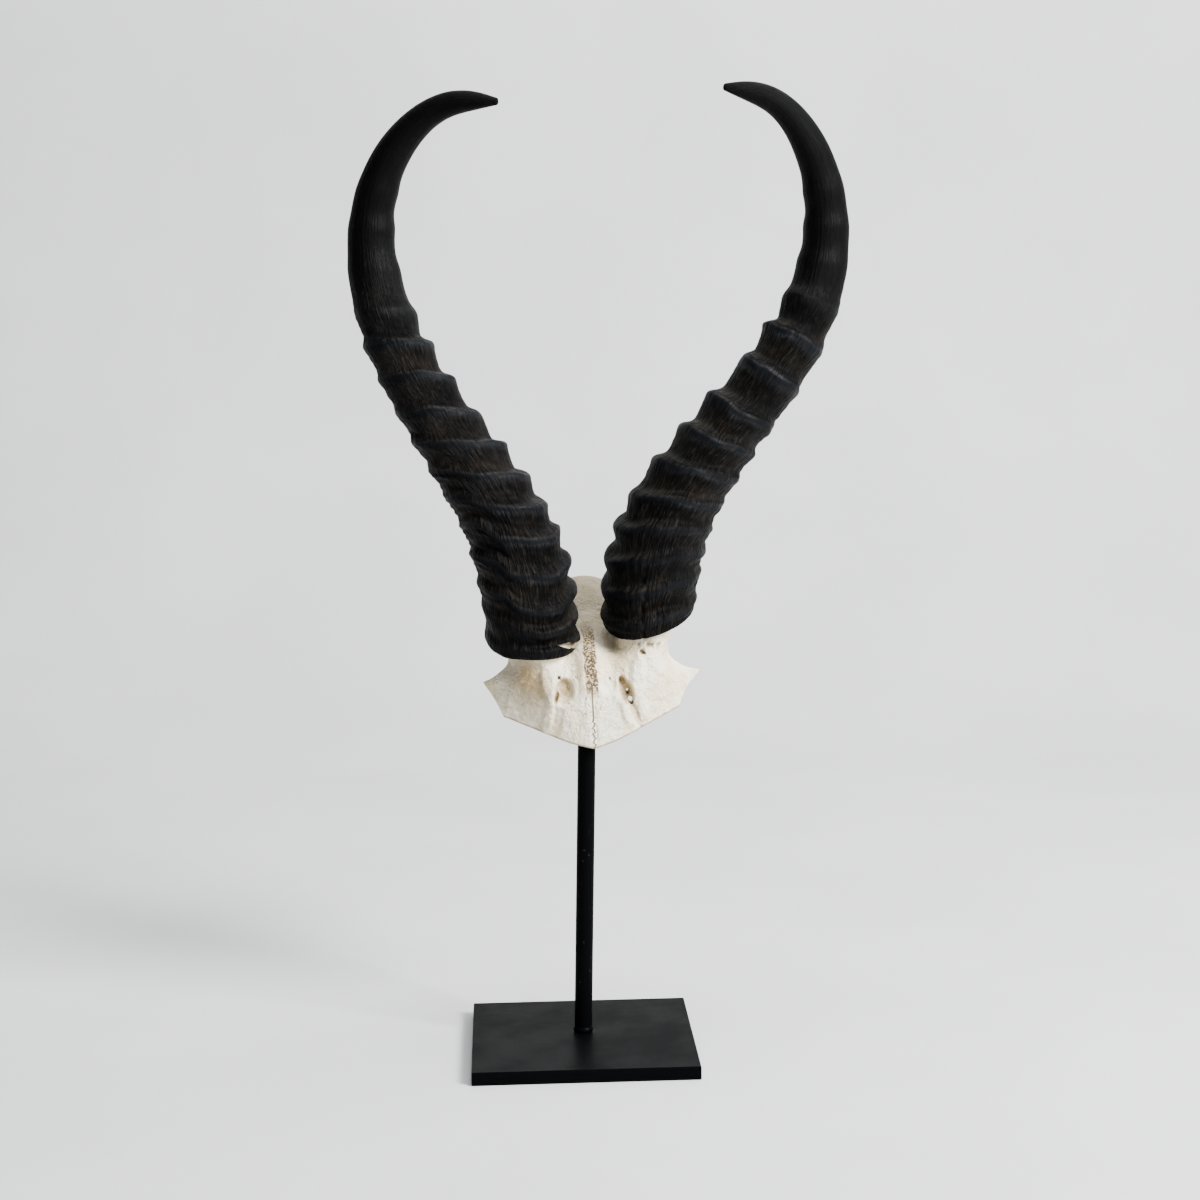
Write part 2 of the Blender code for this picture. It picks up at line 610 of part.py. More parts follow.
def main():
    clear_scene()
    lines = {
        "left": HornLine(LEFT_LINE, *LEFT_LEVELS),
        "right": HornLine(RIGHT_LINE, *RIGHT_LEVELS),
    }
    make_base_plate()
    make_post()
    make_tab_screws()
    make_skull_cap(lines)
    make_sheath("horn_left", lines["left"], LEFT_RINGS, math.radians(LEFT_BOLD_SIDE))
    make_sheath("horn_right", lines["right"], RIGHT_RINGS, math.radians(RIGHT_BOLD_SIDE))


main()
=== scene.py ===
"""Mounted springbok horns: fine horn sheaths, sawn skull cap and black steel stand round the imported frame.

Lengths inside the classes are millimetres in the frame's axes: +X is the viewer's right, -Y comes towards
the viewer, +Z is up, and the origin is the middle of the base plate's underside. Meshes hold metres.
"""

import logging
import math
from dataclasses import dataclass
from enum import Enum

import bmesh
import bpy
import numpy as np
from mathutils import Matrix, Vector


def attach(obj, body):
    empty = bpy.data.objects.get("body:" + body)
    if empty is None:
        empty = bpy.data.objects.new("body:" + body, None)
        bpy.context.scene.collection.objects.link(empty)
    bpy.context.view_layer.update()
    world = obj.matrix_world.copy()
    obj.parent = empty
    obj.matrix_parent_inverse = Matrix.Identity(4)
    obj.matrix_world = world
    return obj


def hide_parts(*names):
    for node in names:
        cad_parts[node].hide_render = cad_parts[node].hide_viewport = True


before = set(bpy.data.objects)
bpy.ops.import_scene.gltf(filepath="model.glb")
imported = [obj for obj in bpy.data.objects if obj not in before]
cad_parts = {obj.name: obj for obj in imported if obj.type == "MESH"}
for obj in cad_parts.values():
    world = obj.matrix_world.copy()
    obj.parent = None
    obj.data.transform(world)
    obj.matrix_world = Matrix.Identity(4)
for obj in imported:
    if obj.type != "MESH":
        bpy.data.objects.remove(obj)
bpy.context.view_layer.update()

LOG = logging.getLogger("springbok")
MM = 0.001
TURN = 2 * math.pi
BODY = "root"
Array = np.ndarray
Pair = tuple[float, float]
Triple = tuple[float, float, float]
Piece = bpy.types.Object
Socket = bpy.types.NodeSocket


class Side(Enum):
    """Which horn or half of the skull, by the sign of its X."""

    LEFT = -1
    RIGHT = 1


# -------------------- curves


def natural_spline(knots: Array, values: Array, at: Array) -> Array:
    """A cubic through every knot, with no bend at either end.

    Each span is the straight line between its knots plus, for each end, that end's bend times
    (share cubed minus share) times the span squared over six; the bends solve one linear system.

    Args:
        knots: rising parameter values.
        values: one row for each knot.
        at: where the curve is wanted.

    Returns:
        One row for each entry of at.
    """
    knots, values, at = (np.asarray(v, float) for v in (knots, values, at))
    step = np.diff(knots)
    system = np.eye(len(knots))
    pull = np.zeros_like(values)
    for i in range(1, len(knots) - 1):
        system[i, i - 1 : i + 2] = step[i - 1], 2 * (step[i - 1] + step[i]), step[i]
        pull[i] = 6 * ((values[i + 1] - values[i]) / step[i] - (values[i] - values[i - 1]) / step[i - 1])
    bend = np.linalg.solve(system, pull)
    cell = np.clip(np.searchsorted(knots, at, side="right") - 1, 0, len(knots) - 2)
    wide = step[cell]
    after = (at - knots[cell]) / wide
    before = 1 - after
    shape = (...,) + (None,) * (values.ndim - 1)
    after, before, wide = after[shape], before[shape], wide[shape]
    straight = before * values[cell] + after * values[cell + 1]
    curved = (before**3 - before) * bend[cell] + (after**3 - after) * bend[cell + 1]
    return straight + curved * wide**2 / 6


def chord_knots(points: Array) -> Array:
    """Distance from the first point along the chords."""
    return np.r_[0, np.cumsum(np.linalg.norm(np.diff(points, axis=0), axis=1))]


def smoothstep(low: float, high: float, value: Array) -> Array:
    """0 below low, 1 above high, and three squares less two cubes of the share between."""
    share = np.clip((value - low) / (high - low), 0, 1)
    return share * share * (3 - 2 * share)


def turned(x: Array, z: Array, degrees: float) -> tuple[Array, Array]:
    """x and z turned by an angle, from x towards z: each is a sum of the two by cosine and sine."""
    c, s = math.cos(math.radians(degrees)), math.sin(math.radians(degrees))
    return x * c - z * s, x * s + z * c


def window(rise: Pair, fall: Pair, value: Array) -> Array:
    """A smooth step up over one pair of values, times a smooth step down over the other."""
    return smoothstep(*rise, value) * (1 - smoothstep(*fall, value))


def mound(*shares: Array) -> Array:
    """The exponential of minus the sum of the squares of the shares: 1 where all are 0."""
    return np.exp(-sum(share**2 for share in shares))


def ripple(points: Array, size: float, seed: int, waves: int = 22) -> Array:
    """Rough noise from -1 to 1: the mean of sine waves in random directions, scaled up.

    Args:
        points: places in millimetres, three to a row.
        size: length of a typical wave in millimetres.
        seed: fixes the directions and phases.
        waves: how many sines are added.

    Returns:
        One value for each point.
    """
    random = np.random.default_rng(seed)
    way = random.normal(size=(waves, 3))
    way *= TURN / size / np.linalg.norm(way, axis=1, keepdims=True) * random.uniform(0.7, 1.4, (waves, 1))
    phase = random.uniform(0, TURN, waves)
    total = np.zeros(points.shape[:-1])
    for k in range(waves):
        total += np.sin(points @ way[k] + phase[k])
    return np.clip(total / math.sqrt(waves), -1.5, 1.5) / 1.5


@dataclass
class HornLine:
    """A horn's centre line, with an across and a front direction at each arc distance.

    Args:
        knots: points from the rim to the tip.
        levels: how nearly level the rings lie on the leaning horn, low down and high up.
    """

    knots: tuple[Triple, ...]
    levels: Pair
    radius_shares: tuple[float, ...] = (0, 0.07, 0.14, 0.21, 0.33, 0.5, 0.65, 0.8, 0.9, 0.96, 1)
    radii: tuple[float, ...] = (20.6, 20.9, 20.2, 18.5, 15.8, 13.4, 10.8, 7.9, 5.8, 4.1, 1.5)
    steepest_lean: float = 0.35
    drop_fade: float = 110
    tilt_fade: Pair = (175, 255)

    def __post_init__(self) -> None:
        """Samples the spline through the knots by arc distance."""
        knots = np.array(self.knots, float)
        chords = chord_knots(knots)
        self.fine = natural_spline(chords, knots, np.linspace(0, chords[-1], 600))
        self.arc = chord_knots(self.fine)
        self.length = float(self.arc[-1])
        self.slopes = np.gradient(self.fine, self.arc, axis=0)

    def tangent(self, s: Array) -> Array:
        """Unit direction along the horn at arc distances."""
        along = np.stack([np.interp(s, self.arc, self.slopes[:, k]) for k in range(3)], -1)
        return along / np.linalg.norm(along, axis=-1, keepdims=True)

    def at(self, s: Array) -> Array:
        """Points of the line at arc distances, running on straight past either end."""
        s = np.asarray(s, float)
        inside = np.clip(s, 0, self.length)
        points = np.stack([np.interp(inside, self.arc, self.fine[:, k]) for k in range(3)], -1)
        return points + (s - inside)[..., None] * self.tangent(inside)

    def frame(self, s: Array) -> tuple[Array, Array]:
        """The across direction, towards +X at the base, and the front direction, towards the viewer.

        Args:
            s: arc distances.

        Returns:
            Two arrays of unit directions.
        """
        along = self.tangent(s)
        front = np.array([0.0, -1.0, 0.0]) - along * -along[..., 1:2]
        front /= np.linalg.norm(front, axis=-1, keepdims=True)
        return np.cross(along, front), front

    def radius(self, s: Array) -> Array:
        """Mean radius of the sheath at arc distances."""
        knots = np.array(self.radius_shares) * self.length
        return natural_spline(knots, self.radii, np.clip(s, 0, self.length))

    def ring_shift(self, s: Array, angle: Array, drop: float) -> Array:
        """How far a ring lies along the horn by bearing: level on a leaning horn, and lower in front.

        Args:
            s: arc distances.
            angle: bearings.
            drop: how far a low ring dips in front, as a share of the radius.

        Returns:
            The shift at each place.
        """
        along = self.tangent(s)
        lean = along[..., 0] / np.maximum(along[..., 2], self.steepest_lean)
        high = np.clip(s / self.drop_fade, 0, 1)
        level = self.levels[0] * (1 - high) + self.levels[1] * high
        fade = np.clip((self.tilt_fade[1] - s) / (self.tilt_fade[1] - self.tilt_fade[0]), 0, 1)
        return self.radius(s) * fade * (lean * level * np.cos(angle) - drop * (1 - high) * np.sin(angle))

    def around(self, s: Array, angle: Array, radius: Array) -> Array:
        """Points at a bearing and radius from the line; the three arrays share one shape.

        Args:
            s: arc distances.
            angle: bearings.
            radius: distances from the line.

        Returns:
            A point for each entry.
        """
        across, front = self.frame(np.clip(s, 0, self.length))
        outward = across * np.cos(angle)[..., None] + front * np.sin(angle)[..., None]
        return self.at(s) + outward * radius[..., None]


LEFT_LINE = HornLine(
    (
        (-19.7, 9, 188.0),
        (-21.6, 7, 210.0),
        (-30.5, 7, 242.0),
        (-47.2, 11, 268.7),
        (-68.7, 17, 302.0),
        (-83.8, 22, 338.0),
        (-87.0, 24, 370.0),
        (-75.7, 20, 403.0),
        (-52.5, 11, 421.4),
        (-30.3, 0, 421.9),
    ),
    (1.0, 1.0),
)
RIGHT_LINE = HornLine(
    (
        (32.9, 9, 196.5),
        (34.2, 7, 214.0),
        (40.9, 7, 238.3),
        (61.6, 11, 269.8),
        (86.3, 17, 298.5),
        (106.6, 22, 330.0),
        (115.2, 24, 366.0),
        (109.0, 20, 399.0),
        (90.5, 11, 421.5),
        (67.8, 0, 427.0),
    ),
    (1.1, 0.1),
)


# -------------------- meshes


def mesh_object(
    name: str, points: Array, faces: list[Array], values: dict[str, Array] | None = None, sharp: float = 60
) -> Piece:
    """A linked object from points in metres and arrays of faces, its normals made to point outwards.

    Args:
        name: the piece's name.
        points: vertex places.
        faces: arrays of vertex numbers, one array for each number of corners.
        values: numbers or vectors to store on the vertices, by name.
        sharp: edges that turn further than this many degrees stay sharp.

    Returns:
        The object, at the origin.
    """
    mesh = bpy.data.meshes.new(name)
    polygons = [tuple(row) for block in faces for row in block.tolist()]
    mesh.from_pydata(points.reshape(-1, 3).tolist(), [], polygons)
    for key, value in (values or {}).items():
        set_attribute(mesh, key, value)
    builder = bmesh.new()
    builder.from_mesh(mesh)
    bmesh.ops.remove_doubles(builder, verts=builder.verts, dist=0.005 * MM)
    bmesh.ops.recalc_face_normals(builder, faces=builder.faces)
    builder.to_mesh(mesh)
    builder.free()
    mesh.shade_smooth()
    mesh.set_sharp_from_angle(angle=math.radians(sharp))
    made = bpy.data.objects.new(name, mesh)
    bpy.context.scene.collection.objects.link(made)
    return made


def closed_quads(rows: int, columns: int, start: int) -> Array:
    """Quads between the rings of a tube's grid.

    Args:
        rows: how many rings of points it has.
        columns: how many points are in each ring; the last is next to the first.
        start: the number of its first point.

    Returns:
        Four vertex numbers for each gap between rings and each column.
    """
    row = np.arange(rows - 1)[:, None] * columns + start
    column = np.arange(columns)
    following = (column + 1) % columns
    return np.stack([row + column, row + columns + column, row + columns + following, row + following], -1)


def read_vertices(made: Piece, key: str) -> Array:
    """A vector of each of a piece's vertices: "co" in metres, or the unit "normal"."""
    values = np.empty(len(made.data.vertices) * 3, np.float32)
    made.data.vertices.foreach_get(key, values)
    return values.reshape(-1, 3).astype(float)


def vertex_places(made: Piece) -> Array:
    """A piece's vertices in millimetres."""
    return read_vertices(made, "co") / MM


def place_vertices(made: Piece, places: Array) -> None:
    """Moves a piece's vertices to places in millimetres."""
    made.data.vertices.foreach_set("co", (places * MM).astype(np.float32).ravel())
    made.data.update()


def set_attribute(mesh: bpy.types.Mesh, name: str, values: Array) -> None:
    """Stores a number or a vector on each vertex, for the finishes to read.

    Args:
        mesh: the mesh.
        name: the attribute's name.
        values: one number or row for each vertex.
    """
    kind, key = ("FLOAT", "value") if values.ndim == 1 else ("FLOAT_VECTOR", "vector")
    layer = mesh.attributes.new(name, kind, "POINT")
    layer.data.foreach_set(key, values.astype(np.float32).ravel())


# -------------------- finishes


@dataclass
class NodeBench:
    """Adds and wires the nodes of one material.

    Args:
        name: the material's name.
    """

    name: str

    def __post_init__(self) -> None:
        """Makes the material and finds its shader."""
        self.material = bpy.data.materials.new(self.name)
        self.material.use_nodes = True
        self.tree = self.material.node_tree
        self.shader = self.tree.nodes["Principled BSDF"]

    def add(self, kind: str, wires: dict | None = None, **settings: object) -> bpy.types.Node:
        """Adds a node, and gives each named input a value or another node's output.

        Args:
            kind: the node's type.
            wires: values or outputs by input.
            settings: the node's own settings.

        Returns:
            The node.
        """
        made = self.tree.nodes.new(kind)
        for key, value in settings.items():
            setattr(made, key, value)
        for key, value in (wires or {}).items():
            self.wire(made.inputs[key], value)
        return made

    def wire(self, socket: Socket, value: object) -> None:
        """Links an output to a socket, or sets the socket's own value."""
        if isinstance(value, Socket):
            self.tree.links.new(value, socket)
        else:
            socket.default_value = value

    def place(self) -> Socket:
        """Object coordinates, in metres."""
        return self.add("ShaderNodeTexCoord").outputs["Object"]

    def attribute(self, name: str, output: str = "Fac") -> Socket:
        """A number or vector stored on the piece's vertices."""
        return self.add("ShaderNodeAttribute", attribute_name=name).outputs[output]

    def stretched(self, vector: Socket, scale: Triple) -> Socket:
        """The vector with each part scaled."""
        return self.add("ShaderNodeMapping", {"Vector": vector, "Scale": scale}).outputs[0]

    def noise(self, vector: Socket, scale: float, detail: float = 3, rough: float = 0.5) -> Socket:
        """Noise from 0 to 1."""
        wires = {"Vector": vector, "Scale": scale, "Detail": detail, "Roughness": rough}
        return self.add("ShaderNodeTexNoise", wires).outputs["Fac"]

    def math(self, operation: str, first: object, second: object = 0.0) -> Socket:
        """One sum on two numbers."""
        return self.add("ShaderNodeMath", {0: first, 1: second}, operation=operation).outputs[0]

    def times(self, *values: object) -> Socket:
        """The product of several numbers."""
        total = values[0]
        for value in values[1:]:
            total = self.math("MULTIPLY", total, value)
        return total

    def between(self, value: object, low: float, high: float, start: float = 0, end: float = 1) -> Socket:
        """Maps low..high on to start..end smoothly, and holds the ends.

        Args:
            value: an output.
            low: where it starts to rise.
            high: where it stops.
            start: the result at low.
            end: the result at high.

        Returns:
            The result's output.
        """
        wires = {"Value": value, "From Min": low, "From Max": high, "To Min": start, "To Max": end}
        return self.add("ShaderNodeMapRange", wires, interpolation_type="SMOOTHSTEP").outputs[0]

    def blend(self, share: object, first: object, second: object) -> Socket:
        """A colour that goes from first to second with share.

        Args:
            share: the share.
            first: a colour or an output.
            second: another.

        Returns:
            The blended colour's output.
        """
        made = self.add("ShaderNodeMix", data_type="RGBA")
        for socket, value in ((made.inputs[0], share), (made.inputs[6], first), (made.inputs[7], second)):
            if isinstance(value, tuple):
                value = (*value, 1)
            self.wire(socket, value)
        return made.outputs[2]

    def bump(self, height: Socket, strength: float, depth: float, before: object = None) -> Socket:
        """A normal bent by a height of the given depth in metres.

        Args:
            height: the height's output.
            strength: how strongly it bends.
            depth: the height's full depth.
            before: a normal to start from.

        Returns:
            The normal's output.
        """
        wires = {"Height": height, "Strength": strength, "Distance": depth}
        if before is not None:
            wires["Normal"] = before
        return self.add("ShaderNodeBump", wires).outputs[0]

    def finish(self, **sockets: object) -> bpy.types.Material:
        """Sets the shader's sockets, given with _ for a space, and returns the material.

        Args:
            sockets: values or outputs by socket.

        Returns:
            The material.
        """
        for key, value in sockets.items():
            if isinstance(value, tuple):
                value = (*value, 1)
            self.wire(self.shader.inputs[key.replace("_", " ")], value)
        return self.material


@dataclass(frozen=True)
class HornFinish:
    """Black keratin: lengthwise grain, brown dirt in the grooves, rubbed crests with a cooler painted sheen,
    and pale ring lips that are partly chipped and partly a painted highlight on each ring's edge.

    Args:
        name: the material's name.
        dustiness: how much of the pale hairs between crests shows.
        lip_strength: how much of the pale line above the crests shows: chipped lips, and partly a painted
            highlight where each ring's edge catches light.
    """

    name: str = "horn_keratin"
    black: Triple = (0.0009, 0.00085, 0.0009)
    brown: Triple = (0.0050, 0.0038, 0.0027)
    # rubbed_and_sheen: the crests' rubbed wear, made lighter and cooler as a painted sheen
    rubbed_and_sheen: Triple = (0.0031, 0.0039, 0.0051)
    dust: Triple = (0.019, 0.0162, 0.0128)
    pale: Triple = (0.034, 0.029, 0.023)
    ior: float = 1.15
    gloss: float = 0.36
    dustiness: float = 0.62
    lip_strength: float = 0.62

    def material(self) -> bpy.types.Material:
        """Builds the nodes.

        Returns:
            The material.
        """
        bench = NodeBench(self.name)
        place = bench.place()
        grain = bench.attribute("grain", "Vector")
        ring = bench.attribute("ring")
        ringed = bench.attribute("ringed")
        streaks = bench.noise(bench.stretched(grain, (1, 1, 0.05)), 0.75, 3, 0.6)
        hairs = bench.noise(bench.stretched(grain, (1, 1, 0.13)), 1.5, 2, 0.6)
        patches = bench.noise(place, 55, 4, 0.6)
        speckle = bench.noise(place, 1500, 2, 0.5)
        groove = bench.between(ring, 0.35, -0.9)
        crest = bench.between(ring, -0.05, 0.85)
        waist = bench.math("SUBTRACT", 1.0, bench.times(crest, 0.85))
        dirt = bench.times(groove, bench.between(patches, 0.42, 0.62), ringed)
        colour = bench.blend(dirt, self.black, self.brown)
        # painted sheen: the crests get a lighter cool tint that stands in for their highlight, laid over
        # their rubbed wear
        wear_and_sheen_share = bench.times(crest, ringed, bench.between(patches, 0.3, 0.7, 0.45, 1))
        colour = bench.blend(wear_and_sheen_share, colour, self.rubbed_and_sheen)
        patchy = bench.between(patches, 0.35, 0.6, 0.3, 1)
        dusty = bench.times(bench.between(hairs, 0.50, 0.66), patchy, ringed, waist, self.dustiness)
        colour = bench.blend(dusty, colour, self.dust)
        # the pale line along each ring's lip: chipped fringe ends, and partly a painted highlight on the edge
        chipped_and_lit = bench.times(bench.between(streaks, 0.40, 0.58), bench.between(patches, 0.42, 0.6, 0.2, 1))
        lip = bench.times(bench.attribute("lip"), chipped_and_lit, self.lip_strength)
        colour = bench.blend(lip, colour, self.pale)
        rough = bench.math("SUBTRACT", bench.between(streaks, 0.3, 0.7, 0.44, 0.62), bench.times(crest, 0.10))
        fine = bench.bump(speckle, 0.12, 0.00015)
        hair = bench.bump(bench.times(hairs, waist, bench.math("ADD", ringed, 0.15)), 0.9, 0.0012, fine)
        normal = bench.bump(bench.times(streaks, waist, bench.math("ADD", ringed, 0.3)), 0.8, 0.0016, hair)
        sockets = {"Roughness": rough, "Normal": normal, "Specular_IOR_Level": self.gloss, "IOR": self.ior}
        return bench.finish(Base_Color=colour, **sockets)


@dataclass(frozen=True)
class BoneFinish:
    """Bleached bone: ivory with faint cream clouds, tan stains, brown pores and a fine grain, with painted
    shade: tan and dark in the hollows and on the shaded flanks, and grey between the horns.

    Args:
        name: the material's name.
        band_side: half widths between which the suture's band fades, in the skull's millimetres.
        band_foot: heights between which it fades in, low down.
        band_head: heights between which it fades out, high up.
        line_side: half widths between which the thin line fades.
        teeth: steps of each triangle wave in a millimetre.
    """

    name: str = "bleached_bone"
    ivory: Triple = (0.95, 0.875, 0.68)
    cream: Triple = (0.82, 0.70, 0.46)
    tan: Triple = (0.42, 0.295, 0.14)
    painted_shade_grey: Triple = (0.21, 0.17, 0.11)
    # pore_and_pit_shade: the dark of pores, the suture line and pinholes, and the painted shade of the big
    # foramen's crescent
    pore_and_pit_shade: Triple = (0.080, 0.045, 0.018)
    sawn: Triple = (0.22, 0.155, 0.09)
    band_side: Pair = (3.1, 2.1)
    band_foot: Pair = (21, 28)
    band_head: Pair = (68, 60)
    line_side: Pair = (0.55, 0.2)
    teeth: Pair = (0.64, 1.5)

    def suture(self, bench: NodeBench, place: Socket) -> tuple[Socket, ...]:
        """The suture, from places in the skull's own millimetres.

        High up it is a porous band either side of the midline. Lower down it is a thin line, straight and
        then a saw-tooth: two triangle waves of the height, faded in towards the front tip.

        Args:
            bench: the material's nodes.
            place: the skull-frame place.

        Returns:
            Three shares: the band, its pores, and the thin line.
        """
        split = bench.add("ShaderNodeSeparateXYZ", {0: place})
        x, z = split.outputs["X"], split.outputs["Z"]
        wobble = bench.between(bench.noise(place, 0.16, 2), 0.3, 0.7, -0.5, 0.5)
        away = bench.math("ABSOLUTE", bench.math("ADD", x, wobble))
        rows = bench.times(bench.between(z, *self.band_foot), bench.between(z, *self.band_head))
        band = bench.times(bench.between(away, *self.band_side), rows)
        pores = bench.times(band, bench.between(bench.noise(place, 1.15, 1, 0.5), 0.45, 0.51))
        tooth, small = (bench.math("PINGPONG", bench.math("MULTIPLY", z, count), 1.0) for count in self.teeth)
        swing = bench.math("ADD", bench.times(tooth, 1.1), bench.times(small, 0.5))
        swing = bench.times(bench.math("SUBTRACT", swing, 0.8), bench.between(z, 15, 11))
        across = bench.math("ABSOLUTE", bench.math("SUBTRACT", bench.math("SUBTRACT", x, 0.2), swing))
        return band, pores, bench.times(bench.between(across, *self.line_side), bench.between(z, 30, 26))

    def material(self) -> bpy.types.Material:
        """Builds the nodes.

        Returns:
            The material.
        """
        bench = NodeBench(self.name)
        place = bench.place()
        skull = bench.attribute("skull", "Vector")
        front = bench.attribute("front")
        clouds = bench.noise(place, 70, 4, 0.6)
        grain = bench.noise(place, 750, 4, 0.65)
        pits = bench.noise(place, 420, 2, 0.5)
        band, pores, line = (bench.times(share, front) for share in self.suture(bench, skull))
        turn = {"Vector": skull, "Rotation": (0, math.radians(42), 0)}
        slanted = bench.add("ShaderNodeMapping", turn).outputs[0]
        scores = bench.noise(bench.stretched(slanted, (0.22, 0.5, 2.6)), 1.0, 2, 0.5)
        # tan: the stored stains with their painted shade, and the suture's stained band
        stain_and_shade = bench.math("MAXIMUM", bench.attribute("stain_and_shade"), bench.times(band, 0.82))
        colour = bench.blend(bench.between(clouds, 0.38, 0.68), self.ivory, self.cream)
        # painted shade: grey darkening between the horns and on the left pedicle's flank, where shade falls
        shaded = bench.times(bench.attribute("painted_shade"), bench.between(clouds, 0.3, 0.7, 0.8, 1))
        colour = bench.blend(shaded, colour, self.painted_shade_grey)
        broken = bench.times(stain_and_shade, bench.between(grain, 0.25, 0.6, 0.55, 1))
        colour = bench.blend(broken, colour, self.tan)
        pinholes = bench.times(bench.between(pits, 0.69, 0.75), 0.45)
        dark = bench.math("MAXIMUM", bench.times(pores, 0.95), bench.times(line, 0.85))
        # the stored pit dark is pores, with painted shade for the big foramen's dark crescent
        dark = bench.math("MAXIMUM", dark, bench.math("MAXIMUM", bench.attribute("pore_and_pit_shade"), pinholes))
        colour = bench.blend(dark, colour, self.pore_and_pit_shade)
        colour = bench.blend(bench.attribute("sawn"), colour, self.sawn)
        fine = bench.bump(grain, 0.9, 0.0011)
        rough = bench.bump(bench.noise(place, 260, 3, 0.6), 0.8, 0.0017, fine)
        scored = bench.bump(bench.times(scores, bench.attribute("scored")), 0.9, 0.0012, rough)
        normal = bench.bump(bench.times(bench.math("MAXIMUM", pores, line), -1.0), 0.9, 0.0007, scored)
        return bench.finish(Base_Color=colour, Roughness=0.62, Normal=normal, Specular_IOR_Level=0.3)


@dataclass(frozen=True)
class SteelFinish:
    """Steel with a faint orange-peel coat or turned sheen.

    Args:
        name: the material's name.
        colour: its colour.
        metallic: 1 for bare metal, 0 for paint.
        roughness: the middle of its roughness.
        ior: its refractive index, low for a dull paint.
    """

    name: str
    colour: Triple
    metallic: float
    roughness: float
    ior: float

    def material(self) -> bpy.types.Material:
        """Builds the nodes.

        Returns:
            The material.
        """
        bench = NodeBench(self.name)
        place = bench.place()
        peel = bench.noise(place, 900, 2, 0.5)
        smudge = bench.noise(place, 40, 4, 0.6)
        specks = bench.times(bench.between(bench.noise(place, 520, 1, 0.4), 0.76, 0.79), 0.25)
        colour = bench.blend(specks, self.colour, tuple(c * 3 + 0.05 for c in self.colour))
        rough = bench.between(smudge, 0.3, 0.7, self.roughness - 0.05, self.roughness + 0.07)
        normal = bench.bump(peel, 0.08, 0.00012)
        sockets = {"Metallic": self.metallic, "IOR": self.ior}
        return bench.finish(Base_Color=colour, Roughness=rough, Normal=normal, **sockets)


# -------------------- sheaths


@dataclass(frozen=True)
class Tear:
    """A torn slit in a sheath's rim: a pointed flap below it, and the rim broken away beyond the flap.

    Args:
        root: the bearing where the slit starts, in degrees.
        point: the bearing of the flap's point.
        end: the bearing where the broken rim ends.
        flap_root: how high the flap is at its root.
        flap_point: how high it is at its point.
        gap_root: how wide the slit is at its root.
        gap_point: how wide it is above the point.
        shut: the gap where there is no slit.
        behind: the height that the edge falls to past the broken rim, over a number of degrees.
    """

    root: float = 56
    point: float = 15
    end: float = -32
    flap_root: float = 5.4
    flap_point: float = 0.3
    gap_root: float = 0.5
    gap_point: float = 2.9
    shut: float = 0.15
    behind: Pair = (2.4, 35)

    def edges(self, angle: Array) -> tuple[Array, Array]:
        """Heights above the rim of the slit's lower and upper edges, both linear in the bearing's cosine.

        Args:
            angle: bearings.

        Returns:
            The lower and the upper heights.
        """
        start, stop = (math.cos(math.radians(a)) for a in (self.root, self.point))
        across = np.clip((np.cos(angle) - start) / (stop - start), 0, 1)
        lower = self.flap_root + (self.flap_point - self.flap_root) * across
        opened = self.gap_root + (self.gap_point - self.gap_root) * smoothstep(0, 0.7, across)
        bearing = (np.degrees(angle) + 180) % 360 - 180
        inside = (bearing < self.root) & (bearing > self.end)
        low, degrees = self.behind
        behind = smoothstep(self.end - degrees, self.end, bearing) * (bearing <= self.end)
        lower = np.where(inside, lower, self.flap_root - (self.flap_root - low) * behind)
        return lower, lower + np.where(inside, opened, self.shut)

    def gone(self, angle: Array, rows: int) -> Array:
        """True for each cell of the first rows that is torn away; the last row is the slit itself.

        Args:
            angle: bearings.
            rows: how many rows of cells there are.

        Returns:
            A row of flags for each row of cells.
        """
        bearing = (np.degrees(angle) + 180) % 360 - 180
        slit = (bearing < self.root) & (bearing > self.end)
        broken = (bearing < self.point) & (bearing > self.end)
        cells = np.repeat(broken[None, :], rows, axis=0)
        cells[-1] = slit
        return cells


